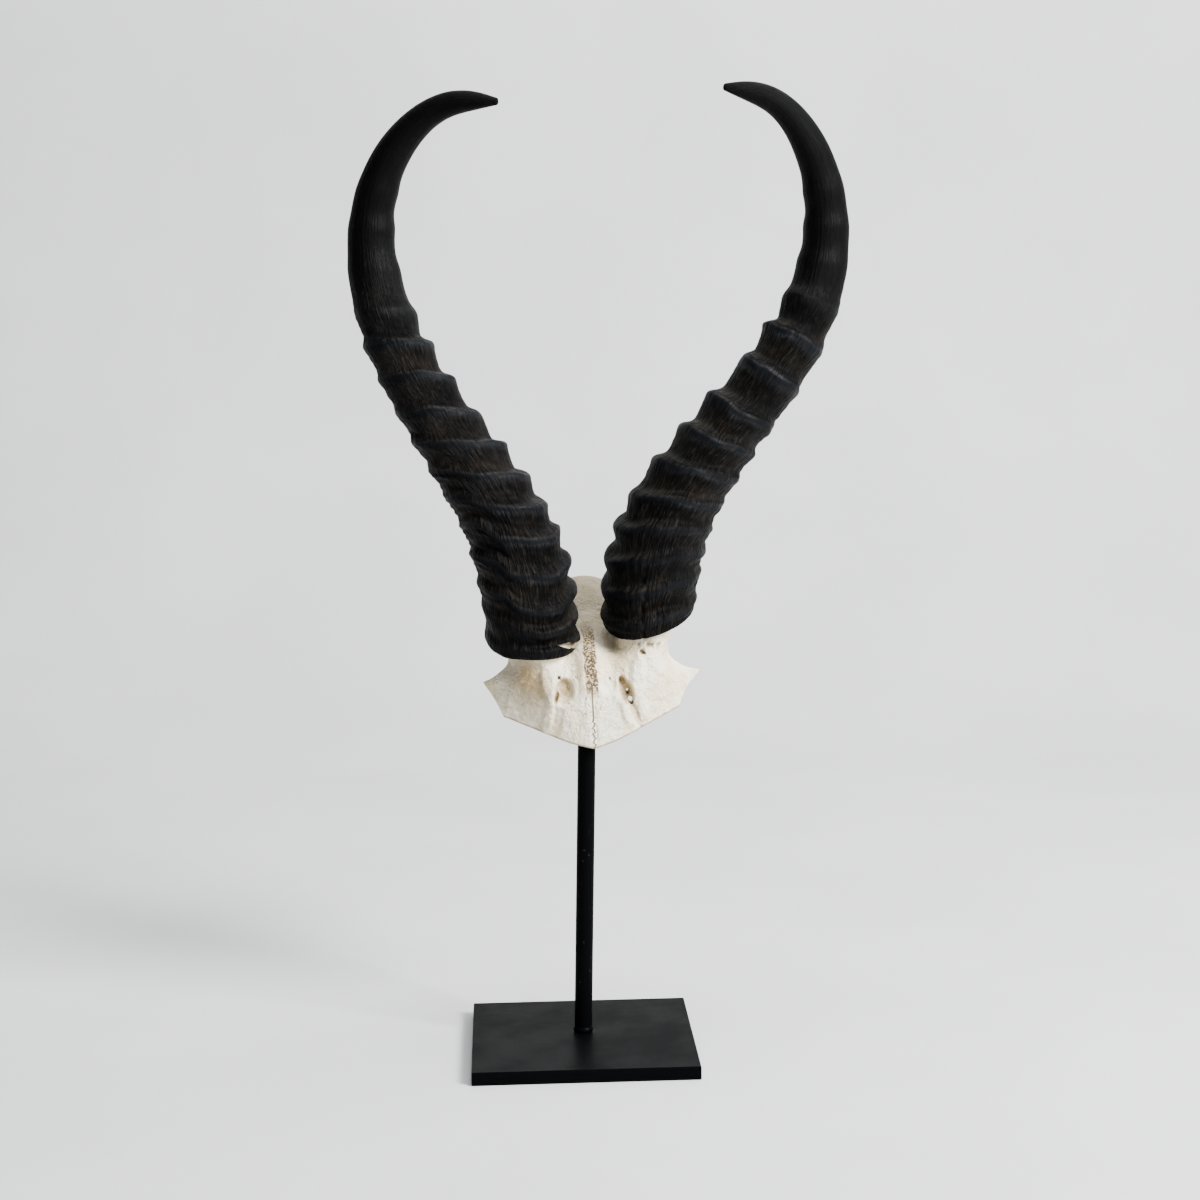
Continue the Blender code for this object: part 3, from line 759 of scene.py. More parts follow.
@dataclass
class HornSheath:
    """A ringed horn sheath: an outer surface by arc distance and bearing, and its socket inside.

    The radius is the line's mean radius plus a ring wave, long swellings, wrinkles and grain. A ring falls
    on a short shelf above its crest and then climbs nearly straight to the next crest.

    Args:
        name: the piece's name.
        node: the solid that it stands for.
        line: the centre line.
        rings: arc distance of each crest.
        swellings: arc distance of each soft swelling past the last ring.
        bold_bearing: the side on which the rings stand out most, in degrees.
        rim_tilt: how much higher the rim is towards +X than in the middle.
        step: how much higher the low rings are on the outer side, past a wavy step.
        tear: the slit in the rim, if it has one.
        seed: fixes the small irregularities.
        rim_drop: how far the rim dips in front, as a share of the radius.
        rim_square: how much lower the rim's sides are than its front and back would make them.
        crack: the bearing of a lengthwise crack up from the rim, if there is one.
        fade: from where to where the rings die out.
        plain_rim: the heights of the last two rim rows of a sheath with no tear.
        lead_in: the ring wave's length below the first ring.
        lead_out: the ring wave's length past the last swelling.
        strays: size, waves round the horn and drift of each sine that the rings stray by.
    """

    name: str
    node: str
    line: HornLine
    rings: tuple[float, ...]
    swellings: tuple[float, ...]
    bold_bearing: float
    rim_tilt: float
    step: float
    tear: Tear | None
    seed: int
    columns: int = 200
    ringed_rows: int = 385
    tip_rows: int = 62
    rim_rows: int = 6
    ring_height: float = 2.15
    shelf: float = 0.27
    outer_share: float = 0.3
    rim_drop: float = 0.25
    rim_round: float = 0.9
    rim_square: float = 0.0
    crack: float | None = None
    fade: Pair = (142, 182)
    socket_depths: tuple[float, ...] = (0, 3, 9, 20, 34, 48, 56)
    socket_radii: tuple[float, ...] = (18.4, 17.9, 16.8, 15.4, 13.8, 11.4, 8.4)
    socket_top: float = 61
    socket_rows: int = 24
    plain_rim: Pair = (5.4, 5.8)
    lead_in: float = 9
    lead_out: float = 22
    strays: tuple[Triple, ...] = ((0.75, 2, 0.031), (0.55, 3, -0.047), (0.34, 5, 0.083), (0.2, 9, -0.12))
    grain_radius: float = 20
    grain_spacing: float = 14
    grain_height: float = 0.075

    def __post_init__(self) -> None:
        """Sets the bearings of the columns and draws the phases of the rings' wander."""
        self.bearings = np.arange(self.columns) * TURN / self.columns
        self.random = np.random.default_rng(self.seed)
        self.phases = self.random.uniform(0, TURN, 4)

    def rounded_wave(self, s: Array) -> Array:
        """The ring profile with its crests rounded: the mean of five samples over three millimetres."""
        return sum(self.ring_wave(s + shift)[0] for shift in (-1.5, -0.75, 0.0, 0.75, 1.5)) / 5

    def ring_wave(self, s: Array) -> tuple[Array, Array]:
        """The ring profile.

        Args:
            s: arc distances.

        Returns:
            A wave from -1 in a groove to 1 on a crest, and the distance above the crest below.
        """
        first, last = self.rings[0] - self.lead_in, self.swellings[-1] + self.lead_out
        marks = np.array((first, *self.rings, *self.swellings, last), float)
        cell = np.clip(np.searchsorted(marks, s, side="right") - 1, 0, len(marks) - 2)
        span = marks[cell + 1] - marks[cell]
        phase = np.clip((s - marks[cell]) / span, 0, 1)
        shelf = self.shelf + 0.2 * smoothstep(self.rings[-1] - 25, self.rings[-1] + 12, s)
        fall = np.cos(np.clip(phase / shelf, 0, 1) * math.pi)
        rise = np.clip((phase - shelf) / (1 - shelf), 0, 1)
        climb = 0.3 * (2 * rise - 1) + 0.7 * (2 * rise**1.7 - 1)
        return np.where(phase < shelf, fall, climb), s - marks[cell]

    def fading(self, s: Array) -> Array:
        """1 where the horn is ringed, and 0 on the smooth tip."""
        return 1 - smoothstep(*self.fade, s)

    def wander(self, s: Array, angle: Array) -> Array:
        """How far rings stray along the horn: low sines of the bearing whose phases drift up the horn.

        Args:
            s: arc distances.
            angle: bearings.

        Returns:
            The shift at each place.
        """
        stray = np.zeros(s.shape)
        for (size, waves, drift), phase in zip(self.strays, self.phases):
            stray += size * np.sin(waves * angle + drift * s + phase)
        return stray * self.fading(s) * smoothstep(0, 10, s)

    def rim_shift(self, s: Array, angle: Array) -> Array:
        """The shift that the rim and the socket share: the ring shift, the rim's tilt and its squareness."""
        tilt = self.rim_tilt * np.cos(angle) * (1 - smoothstep(0, 55, s))
        square = self.rim_square * np.cos(angle) ** 2 * (1 - smoothstep(0, 26, s))
        return self.line.ring_shift(s, angle, self.rim_drop) + tilt - square

    def shifts(self, s: Array, angle: Array) -> Array:
        """The whole shift of a ring along the horn at each bearing.

        Args:
            s: arc distances.
            angle: bearings.

        Returns:
            The shift at each place.
        """
        bearing = np.degrees(angle) + 3 * np.sin(s * 0.35)
        high = self.step * window((102, 122), (215, 300), bearing) * window((3, 12), (45, 95), s)
        return self.rim_shift(s, angle) + high + self.wander(s, angle)

    @staticmethod
    def coiled(s: Array, angle: Array, radius: float, stretch: float = 1.0) -> Array:
        """Places on a plain cylinder with its length stretched, where noise meets itself round the horn."""
        return np.stack([radius * np.cos(angle), radius * np.sin(angle), s * stretch], -1)

    def streak(self, s: Array) -> Array:
        """Lengthwise grain: random heights round the horn, smoothed, that change slowly up it.

        Args:
            s: arc distances on the sheath's grid.

        Returns:
            The height at each place.
        """
        knots = int(self.line.length // self.grain_spacing) + 2
        table = self.random.normal(size=(knots, self.columns))
        table = 0.5 * table + 0.25 * np.roll(table, 1, 1) + 0.25 * np.roll(table, -1, 1)
        where = np.clip(s / self.grain_spacing, 0, knots - 1.001)
        cell = where.astype(int)
        share = where - cell
        column = np.broadcast_to(np.arange(self.columns), s.shape)
        return table[cell, column] * (1 - share) + table[cell + 1, column] * share

    def relief(self, s: Array, angle: Array) -> tuple[Array, Array, Array]:
        """Height over the mean radius.

        Args:
            s: arc distances before any shift.
            angle: bearings.

        Returns:
            The height, the ring wave and the lip of each ring.
        """
        wave, above = self.rounded_wave(s), self.ring_wave(s)[1]
        facing = 0.5 + 0.5 * np.cos(angle - math.radians(self.bold_bearing))
        fade = self.fading(s)
        gain = 1 + 0.2 * np.sin(2 * angle + 0.11 * s + self.seed) + 0.12 * np.sin(3 * angle - 0.19 * s)
        soft = 0.2 * window((self.rings[-1] - 15, self.rings[-1] + 10), (205, 240), s)
        share = (self.outer_share + (1 - self.outer_share) * facing) * np.maximum(fade * gain, soft)
        height = self.ring_height * wave * share * smoothstep(0, 3, s)
        lumps = ripple(self.coiled(s, angle, self.grain_radius), 21, self.seed)
        wrinkles = ripple(self.coiled(s, angle, 9, 1.7), 6, self.seed + 1)
        height += 0.30 * lumps * fade
        height += (0.4 - 0.2 * smoothstep(40, 100, s)) * wrinkles * fade * (1.2 - 0.6 * facing)
        height += self.grain_height * self.streak(s) * (0.35 + 0.65 * fade)
        if self.crack is not None:
            off = (angle - math.radians(self.crack)) * self.grain_radius
            off = off + 0.8 * np.sin(s * 0.45) + 0.4 * np.sin(s * 1.3)
            height -= 0.8 * mound(off / 0.75) * (1 - smoothstep(22, 38, s))
        lip = mound((above - 0.9) / 0.55) * fade * (0.25 + 0.75 * facing)
        return height, wave * fade, lip

    def station_grid(self) -> Array:
        """Arc distances of the outer rows at each bearing: rim, slit, rings, then the tip more closely.

        Returns:
            A row of arc distances for each ring of points.
        """
        lower, upper = (np.full(self.columns, height) for height in self.plain_rim)
        if self.tear:
            lower, upper = self.tear.edges(self.bearings)
        rim = np.linspace(0, 1, self.rim_rows + 1)[:, None] * lower
        end = self.swellings[-1] + 8
        ringed = upper + (end - upper) * np.linspace(0, 1, self.ringed_rows)[:, None]
        tip = end + (self.line.length - end) * (1 - (1 - np.linspace(0, 1, self.tip_rows + 1)[1:]) ** 1.3)
        tip = np.minimum(tip, self.line.length - 0.2)
        return np.vstack([rim, ringed, np.repeat(tip[:, None], self.columns, 1)])

    def build(self) -> Piece:
        """Makes the closed sheath.

        Returns:
            The object, with the attributes that the horn finish reads.
        """
        stations = self.station_grid()
        angle = np.broadcast_to(self.bearings, stations.shape)
        height, wave, lip = self.relief(stations, angle)
        moved = np.minimum(stations + self.shifts(stations, angle), self.line.length)
        rounding = self.rim_round * (1 - smoothstep(0, 1.8, stations)) ** 2
        outer = self.line.around(moved, angle, self.line.radius(stations) + height - rounding)
        first = self.rim_rows + 2
        rise = np.linspace(0, 1, self.socket_rows + 1)[1:, None]
        above = stations[first - 1] + (self.socket_depths[-1] - stations[first - 1]) * rise
        inner_rows = np.vstack([stations[:first], above])
        inner_angle = np.broadcast_to(self.bearings, inner_rows.shape)
        inner_moved = inner_rows + self.rim_shift(inner_rows, inner_angle)
        width = np.interp(inner_rows, self.socket_depths, self.socket_radii)
        inner = self.line.around(inner_moved, inner_angle, width)
        tips = np.array([self.line.at(self.line.length + 0.4), self.line.at(float(self.socket_top))])
        points = np.vstack([outer.reshape(-1, 3), inner.reshape(-1, 3), tips])
        bare = np.zeros(len(points) - outer.size // 3)
        grain = self.coiled(stations, angle, self.grain_radius).reshape(-1, 3)
        values = {"grain": np.vstack([grain, points[len(grain) :]])}
        for key, value in (("ring", wave), ("ringed", self.fading(stations)), ("lip", lip)):
            values[key] = np.r_[value.ravel(), bare]
        return mesh_object(self.name, points * MM, self.faces(len(stations), len(inner_rows)), values)

    def faces(self, outer_rows: int, inner_rows: int) -> list[Array]:
        """Quads of both surfaces less the torn cells, walls along every free edge, and the two fans.

        Args:
            outer_rows: how many rings of points the outside has.
            inner_rows: how many the socket has.

        Returns:
            An array of quads and an array of triangles.
        """
        count = self.columns
        start = outer_rows * count
        column = np.arange(count)
        following = (column + 1) % count
        torn = np.zeros((self.rim_rows + 1, count), bool)
        if self.tear:
            torn = self.tear.gone(self.bearings + TURN / count / 2, self.rim_rows + 1)
        quads = []
        for offset, rows in ((0, outer_rows), (start, inner_rows)):
            keep = np.ones((rows - 1, count), bool)
            keep[: self.rim_rows + 1] = ~torn
            quads.append(closed_quads(rows, count, offset)[keep])
        kept = np.vstack([np.zeros((1, count), bool), ~torn, np.ones((1, count), bool)])
        level, where = np.nonzero(kept[1:] != kept[:-1])
        low = level * count + where
        high = level * count + following[where]
        quads.append(np.stack([low, high, high + start, low + start], -1))
        side = ~torn != np.roll(~torn, -1, axis=1)
        level, where = np.nonzero(side)
        low = level * count + following[where]
        quads.append(np.stack([low, low + count, low + count + start, low + start], -1))
        tip = start + inner_rows * count
        last = (outer_rows - 1) * count
        top = start + (inner_rows - 1) * count
        ends = ((last, tip), (top, tip + 1))
        fans = [np.stack([ring + column, ring + following, np.full(count, end)], -1) for ring, end in ends]
        return [np.vstack(quads), *fans]


# -------------------- skull


@dataclass(frozen=True)
class EdgeRow:
    """One point of the cap's edge, in the skull's frame: x from the midline, y back, z up from its front tip.

    Args:
        point: the edge point.
        leave: the pull with which the skin crosses the edge there.
        bearing: the bearing on the core's neck that faces the point, in degrees.
        straight: how far the skin runs straight down the core before it turns.
        hollow: the hollow's own edge, inside the point.
    """

    point: Triple
    leave: Triple
    bearing: float
    straight: float
    hollow: Triple


@dataclass(frozen=True)
class Dome:
    """A half ellipsoid that the roof rises to: how far back, half width, half depth, foot and height."""

    back: float
    half_width: float
    half_depth: float
    foot: float
    height: float
    blend: float = 3.0
    skirt: float = 0.25

    def lift(self, points: Array, share: Array, midline: int) -> Array:
        """Raises a grid on to the dome.

        The new height is the smooth maximum of the two heights: half the sum of their difference and the
        root of its square plus the blend's square. The sawn edge, at share 1, stays where it is.

        Args:
            points: rows from the neck or the deepest point out to the edge.
            share: each row's share of the way.
            midline: how many columns end on the midline, where the dome goes right across.

        Returns:
            The raised grid.
        """
        across, along = points[..., 0] / self.half_width, (points[..., 1] - self.back) / self.half_depth
        inside = 1 - across**2 - along**2
        over = self.foot + self.height * np.sqrt(np.clip(inside, 0, None)) - points[..., 2]
        rise = (over + np.sqrt(over**2 + self.blend**2)) / 2 * np.clip(inside / self.skirt, 0, 1)
        rise[:, midline:] *= (1 - share**4)[:, None]
        return points + rise[..., None] * np.array([0, 0, 1])


@dataclass(frozen=True)
class Pit:
    """A hollow in the forehead: an ellipse seen from the front, how deep it is, and how tan and dark it is,
    partly stain and pores and partly painted shade in the hollow.

    Args:
        x: its place across, in the skull's frame.
        z: its height.
        half_x: half its width.
        half_z: half its height.
        depth: how deep it goes.
        stain_and_shade: how tan it is, 0 to 1, partly a stain and partly painted shade in the hollow.
        dark: how dark its bottom is, 0 to 1: pores, and painted shade for the crescent in the big foramen.
        turn: how far it is turned, in degrees.
    """

    x: float
    z: float
    half_x: float
    half_z: float
    depth: float
    stain_and_shade: float = 0.0
    dark: float = 0.0
    turn: float = 0.0

    def share(self, x: Array, z: Array) -> Array:
        """1 in the middle and 0 outside, by the distance from the middle in half sizes.

        Args:
            x: places across.
            z: their heights.

        Returns:
            The share at each place.
        """
        across, along = turned(x - self.x, z - self.z, -self.turn)
        return 1 - smoothstep(0.4, 1.0, np.hypot(across / self.half_x, along / self.half_z))


@dataclass
class SkullCap:
    """The sawn skull cap: for each half a skin from the horn core down and out to the edge, and the hollow.

    The skin is a Hermite surface: each column starts on the core's neck at its own bearing and ends on its
    edge point, and each row is one share of the way. The hollow runs in the same way from its deepest point.
    The edge is given in stretches with a count of columns each, and each goes on from the last one's end.
    """

    name: str = "bone_skull_cap"
    node: str = "skull_cap"
    tip: Triple = (7.0, -9.0, 139.2)
    roll: float = 2.0
    neck: Triple = (24.0, 18.0, 45.0)
    neck_radii: Pair = (11.8, 12.5)
    neck_rises: Pair = (0.12, 0.25)
    deepest: Triple = (22.0, 32.0, 43.0)
    spread: Triple = (0.9, 0.9, 0.15)
    midline_pull: Triple = (-44, 0, 0)
    seat: Triple = (7.2, 40.5, 9.6)
    roof: Triple = (112, 30, 60)
    roof_pull: Pair = (0.3, 1.9)
    outer_dome: Dome = Dome(56.0, 30.5, 27.0, 34.0, 36.0)
    inner_dome: Dome = Dome(54.0, 26.0, 23.0, 34.0, 31.0)
    core: tuple[Pair, ...] = ((3, 12.6), (8, 12.6), (22, 11.4), (36, 9.4), (46, 6.4))
    core_top: float = 51
    saw_slope: float = 0.7
    filled_radius: float = 17.6
    neck_rows: int = 14
    skin_rows: int = 92
    hollow_rows: int = 30
    plug_depths: Pair = (-8.0, 30.0)
    plug_sides: int = 24
    grain_squash: Triple = (1, 0.6, 1)
    stretches: tuple[tuple[tuple[EdgeRow, ...], int], ...] = (
        (
            (
                EdgeRow((0, 0.0, 0.0), (-8, -0.5, -12), 239, 16, (0, 7.5, 5.3)),
                EdgeRow((0, 1.0, 18.0), (-18, 0, -3), 226, 15, (0, 9.3, 18.0)),
                EdgeRow((0, 3.0, 34.0), (-18, 0, 0), 208, 12, (0, 9.6, 32.0)),
                EdgeRow((0, 5.5, 42.5), (-11, 0, 0), 193, 10, (0, 12.5, 38.5)),
                EdgeRow((0, 11.0, 46.8), (-6, 0, -1), 176, 9, (0, 17.0, 42.5)),
                EdgeRow((0, 21.0, 50.8), (-7, 0, -0.5), 157, 8, (0, 25.0, 46.0)),
                EdgeRow((0, 34.0, 56.5), (-14, 0, 0), 140, 7, (0, 36.0, 50.5)),
                EdgeRow((0, 50.0, 63.0), (-20, 0, 0), 128, 7, (0, 50.0, 56.5)),
                EdgeRow((0, 64.0, 66.5), (-22, 0, 0), 119, 7, (0, 61.0, 60.0)),
                EdgeRow((0, 74.0, 62.5), (-20, 6, -5), 112, 7, (0, 69.0, 57.0)),
                EdgeRow((0, 79.0, 55.3), (-12, 10, -22), 106, 8, (0, 74.0, 51.8)),
            ),
            124,
        ),
        (
            (
                EdgeRow((20, 74.0, 51.8), (8, 12, -34), 92, 8, (17, 68.0, 47.6)),
                EdgeRow((30, 58.0, 40.6), (13, 4, -34), 76, 9, (26, 56.0, 39.2)),
                EdgeRow((33, 45.0, 31.5), (10, 0, -22), 54, 10, (29, 45.0, 31.5)),
            ),
            48,
        ),
        (
            (
                EdgeRow((41, 38.0, 28.5), (10, 4, -8), 27, 10, (38, 36.5, 26.0)),
                EdgeRow((47.5, 24.0, 27.5), (11, 1, -5), -3, 11, (44.0, 26.0, 25.0)),
            ),
            34,
        ),
        (
            (
                EdgeRow((43.8, 22.0, 22.0), (10, 2, -7), -22, 12, (41.0, 25.0, 20.0)),
                EdgeRow((39.5, 19.0, 13.3), (8, 3, -11), -40, 14, (37.0, 22.5, 15.8)),
            ),
            24,
        ),
        (
            (
                EdgeRow((21.0, 9.0, 6.3), (1, 0, -17), -90, 18, (20.5, 14.0, 9.8)),
                EdgeRow((8.0, 2.6, 1.8), (-4, -0.4, -15), -113, 17, (8.0, 8.6, 6.0)),
                EdgeRow((0, 0.0, 0.0), (-8, -0.5, -12), -121, 16, (0, 7.5, 5.3)),
            ),
            66,
        ),
    )
    # The big left foramen's first three rows and the teardrop's rows at x 13.9 and 15.6 carry painted shade
    # in their tan and dark, along with real stain.
    pits: tuple[Pit, ...] = (
        Pit(-12.0, 25.4, 5.2, 7.2, 2.9, 0.6, 0, -10),
        Pit(-12.2, 26.8, 4.2, 5.8, 3.8, 0.85, 0.05, -12),
        Pit(-15.4, 23.2, 1.4, 4.0, 3.6, 0.95, 0.6, -18),
        Pit(-14.0, 31.7, 1.0, 1.1, 1.6, 0.5, 0.95),
        Pit(-6.3, 31.7, 0.8, 0.6, 0.6, 0.3, 0.6),
        Pit(8.5, 30.3, 0.8, 0.9, 0.8, 0.2, 0.8),
        Pit(13.9, 28.6, 2.2, 3.4, 3.0, 1.0, 0.5, 12),
        Pit(15.6, 23.8, 3.6, 7.6, 3.2, 0.95, 0.12, 16),
        Pit(19.0, 14.6, 2.0, 9.0, 1.5, 0.6, 0.12, 19),
        Pit(21.0, 9.6, 1.1, 5.0, 0.9, 0.4, 0.15, 19),
        Pit(-2.9, 22.2, 0.7, 0.7, 0.6, 0.2, 0.6),
        Pit(2.6, 23.4, 0.6, 0.6, 0.5, 0.2, 0.5),
        Pit(-3.2, 15.6, 0.6, 0.6, 0.5, 0.2, 0.5),
        Pit(3.6, 17.8, 0.6, 0.6, 0.5, 0.2, 0.5),
        Pit(23.6, 41.2, 2.1, 1.3, 1.8, 0.6, 0.8, -30),
        Pit(27.0, 44.6, 2.7, 1.5, 1.8, 0.6, 0.7, -28),
        Pit(22.0, 44.4, 1.5, 1.1, 1.3, 0.5, 0.7),
        Pit(30.8, 43.8, 1.9, 1.2, 1.5, 0.5, 0.6, 20),
        Pit(25.2, 47.4, 1.5, 1.0, 1.0, 0.4, 0.3, 10),
        Pit(19.4, 46.2, 1.2, 0.8, 0.8, 0.3, 0.3, 10),
    )
    ridges: tuple[Pit, ...] = (
        Pit(15.8, 13.0, 2.8, 9.0, -0.9, turn=19),
        Pit(23.4, 15.6, 2.6, 10.0, -0.8, turn=17),
        Pit(-19.8, 14.0, 3.0, 12.0, -0.7, turn=-14),
        Pit(-15.6, 13.6, 3.4, 10.0, 0.6, turn=-12),
        Pit(-19.0, 30.0, 4.5, 14.0, -1.4, turn=4),
        Pit(21.0, 30.0, 4.5, 14.0, -1.4, turn=-4),
        Pit(-7.4, 30.0, 4.0, 14.0, 0.7),
        Pit(7.8, 30.0, 4.0, 14.0, 0.7),
        Pit(9.0, 13.0, 7.0, 9.0, 0.5),
        Pit(-8.5, 12.0, 6.0, 8.0, 0.4),
    )
    holes: tuple[Pit, ...] = (
        Pit(16.3, 23.7, 0.75, 1.35, 0, turn=12),
        Pit(17.5, 19.7, 1.15, 1.95, 0, turn=16),
    )

    def to_world(self, points: Array) -> Array:
        """Skull-frame places to the frame's, both in millimetres: a roll about Y, then the tip's place.

        Args:
            points: places in the skull's frame.

        Returns:
            The same places in the frame's axes.
        """
        x, z = turned(points[..., 0], points[..., 2], self.roll)
        return np.stack([x, points[..., 1], z], -1) + np.array(self.tip)

    def to_skull(self, places: Array) -> Array:
        """The frame's places back to the skull's.

        Args:
            places: places in the frame's axes.

        Returns:
            The same in the skull's frame.
        """
        away = places - np.array(self.tip)
        x, z = turned(away[..., 0], away[..., 2], -self.roll)
        return np.stack([x, away[..., 1], z], -1)

    def edge(self) -> tuple[Array, int]:
        """The edge from the front tip over the midline and round the side.

        Returns:
            A row for each column of the grids: point, pull, bearing, straight run and hollow edge. Then how
            many of them lie on the midline.
        """
        parts = []
        run: tuple[EdgeRow, ...] = ()
        for rows, count in self.stretches:
            run = (*run[-1:], *rows)
            packed = np.array([(*r.point, *r.leave, r.bearing, r.straight, *r.hollow) for r in run], float)
            knots = chord_knots(packed[:, :3])
            parts.append(natural_spline(knots, packed, np.linspace(0, knots[-1], count + 1))[:-1])
        return np.vstack(parts), len(parts[0])

    def neck_ring(self, bearing: Array, straight: Array) -> tuple[Array, Array]:
        """The core's neck by bearing, and the pull with which the skin leaves it: down, or level behind.

        Args:
            bearing: bearings round the core.
            straight: how strong the pull is at each.

        Returns:
            The points and the pulls.
        """
        across, back = np.cos(bearing), np.sin(bearing)
        dx, dy = self.neck_radii[0] * across, self.neck_radii[1] * back
        ring = np.array(self.neck) + np.stack([dx, dy, dy * self.neck_rises[1] - dx * self.neck_rises[0]], -1)
        down = np.stack([across * 0.25, back * 0.25, -np.ones_like(across)], -1)
        level = np.stack([across, back, np.full_like(across, self.roof_pull[0])], -1) * self.roof_pull[1]
        middle, full, none = self.roof
        roof = np.clip((none - np.abs(np.degrees(bearing) - middle)) / (none - full), 0, 1)[:, None]
        return ring, (down * (1 - roof) + level * roof) * straight[:, None]

    @staticmethod
    def hermite(start: Array, start_pull: Array, end: Array, end_pull: Array, share: Array) -> Array:
        """Rows of the cubic that leaves start with one pull and reaches end with the other.

        Args:
            start: the first points.
            start_pull: their pulls.
            end: the last points.
            end_pull: their pulls.
            share: each row's share of the way.

        Returns:
            A row of points for each share.
        """
        t = np.asarray(share)[:, None, None]
        return (
            (2 * t**3 - 3 * t**2 + 1) * start
            + (t**3 - 2 * t**2 + t) * start_pull
            + (3 * t**2 - 2 * t**3) * end
            + (t**3 - t**2) * end_pull
        )

    def half(self, side: Side, line: HornLine) -> tuple[Array, Array, int]:
        """The grids of one half.

        Args:
            side: which half.
            line: the centre line of its horn, which the core follows.

        Returns:
            The core and skin from the core's top down, the hollow from its deepest point out, and how many
            columns end on the midline.
        """
        table, midline = self.edge()
        point, leave, straight, hollow = table[:, :3], table[:, 3:6], table[:, 7], table[:, 8:]
        bearing = np.radians(table[:, 6])
        ring, pull = self.neck_ring(bearing, straight)
        share = np.linspace(0, 1, self.skin_rows + 1)
        skin = self.outer_dome.lift(self.hermite(ring, pull, point, leave, share), share, midline)
        deepest = np.array(self.deepest)
        arrive = (hollow - deepest) * self.spread[0]
        arrive[:midline] = self.midline_pull
        share = np.linspace(0, 1, self.hollow_rows + 1)
        bowl = self.hermite(deepest, (hollow - deepest) * np.array(self.spread), hollow, arrive, share)
        bowl = self.inner_dome.lift(bowl, share, midline)
        flat = (np.abs(bowl[..., 0]) < self.seat[0]) & (bowl[..., 2] < self.seat[1])
        bowl[..., 1] = np.where(flat, np.minimum(bowl[..., 1], self.seat[2]), bowl[..., 1])
        mirror = np.array([side.value, 1, 1])
        skin, bowl = self.to_world(skin * mirror), self.to_world(bowl * mirror)
        reach, width = np.array(self.core).T
        stations = np.repeat(np.linspace(self.core_top - 1, reach[1], 14)[:, None], len(bearing), 1)
        turn = np.broadcast_to(-bearing if side is Side.RIGHT else math.pi + bearing, stations.shape)
        core = line.around(stations, turn, np.interp(stations, reach, width))
        core[0] = line.at(float(self.core_top))
        down = np.linspace(0, 1, self.neck_rows + 2)[1:-1, None, None]
        neck = core[-1] * (1 - down) + skin[0] * down
        return np.concatenate([core, neck, skin]), bowl, midline

    def build(self, lines: dict[Side, HornLine]) -> Piece:
        """Makes the closed cap with its holes, pits, suture, stains and painted shade.

        Args:
            lines: the centre line of each horn.

        Returns:
            The object.
        """
        points: list[Array] = []
        faces: list[Array] = []
        start = 0
        for side in (Side.RIGHT, Side.LEFT):
            outer, bowl, midline = self.half(side, lines[side])
            count = outer.shape[1]
            column = np.arange(count)
            following = (column + 1) % count
            second = start + len(outer) * count
            for offset, rows in ((start, len(outer)), (second, len(bowl))):
                faces.append(closed_quads(rows, count, offset)[..., [0, 3, 2, 1]].reshape(-1, 4))
            low, high = start + (len(outer) - 1) * count, second + (len(bowl) - 1) * count
            sawn = np.stack([low + column, low + following, high + following, high + column], -1)
            faces.append(sawn[midline:])
            points += [outer.reshape(-1, 3), bowl.reshape(-1, 3)]
            start = second + len(bowl) * count
        made = mesh_object(self.name, np.vstack(points) * MM, faces)
        self.fill_socket(made, lines[Side.LEFT])
        self.pull_tips(made)
        self.carve(made)
        self.pierce(made)
        self.stain_and_shade(made)
        return made

    def in_front(self, made: Piece) -> tuple[Array, Array]:
        """Skull-frame places of a piece's vertices, and how far each belongs to the forehead's outside.

        Args:
            made: the cap.

        Returns:
            The places, and a share from 0 to 1 for each.
        """
        skull = self.to_skull(vertex_places(made))
        facing = smoothstep(0.05, 0.4, -read_vertices(made, "normal")[:, 1])
        return skull, facing * (1 - smoothstep(16, 30, skull[:, 1]))

    def fill_socket(self, made: Piece, line: HornLine) -> None:
        """Swells the left pedicle towards its sheath's torn slit.

        The radius from the horn line rises to a limit, by a share that windows of bearing and height set.

        Args:
            made: the cap.
            line: the left horn's centre line.
        """
        places, normals = vertex_places(made), read_vertices(made, "normal")
        along = line.tangent(np.array(0.0))
        across, front = line.frame(np.array(0.0))
        away = places - line.at(np.array(0.0))
        height = away @ along
        outward = away - height[:, None] * along
        radius = np.linalg.norm(outward, axis=1)
        outward /= np.maximum(radius, 1e-6)[:, None]
        bearing = np.degrees(np.arctan2(outward @ front, outward @ across))
        share = window((-75, -30), (75, 115), bearing) * window((-13, -6), (6, 11), height) * (radius > 7)
        share *= smoothstep(-0.2, 0.3, np.einsum("ij,ij->i", normals, outward))
        places += outward * (np.maximum(self.filled_radius - radius, 0) * share)[:, None]
        place_vertices(made, places)

    def pull_tips(self, made: Piece) -> None:
        """Draws the orbit tips out, the right one further, and hollows the flanks above them.

        Args:
            made: the cap.
        """
        skull = self.to_skull(vertex_places(made))
        x, y, z = skull.T
        for side, pull, lift in ((1, 2.8, 1.6), (-1, 0.6, 1.2)):
            near = mound((x * side - 47.5) / 3.6, (y - 24) / 9, (z - 27.5) / 4.5)
            x += side * pull * near
            z += lift * near
        waist = mound((z - 36.5) / 4.5) * smoothstep(28, 38, np.abs(x)) * (1 - smoothstep(26, 40, y))
        x -= np.sign(x) * 2.4 * waist
        place_vertices(made, self.to_world(np.stack([x, y, z], -1)))

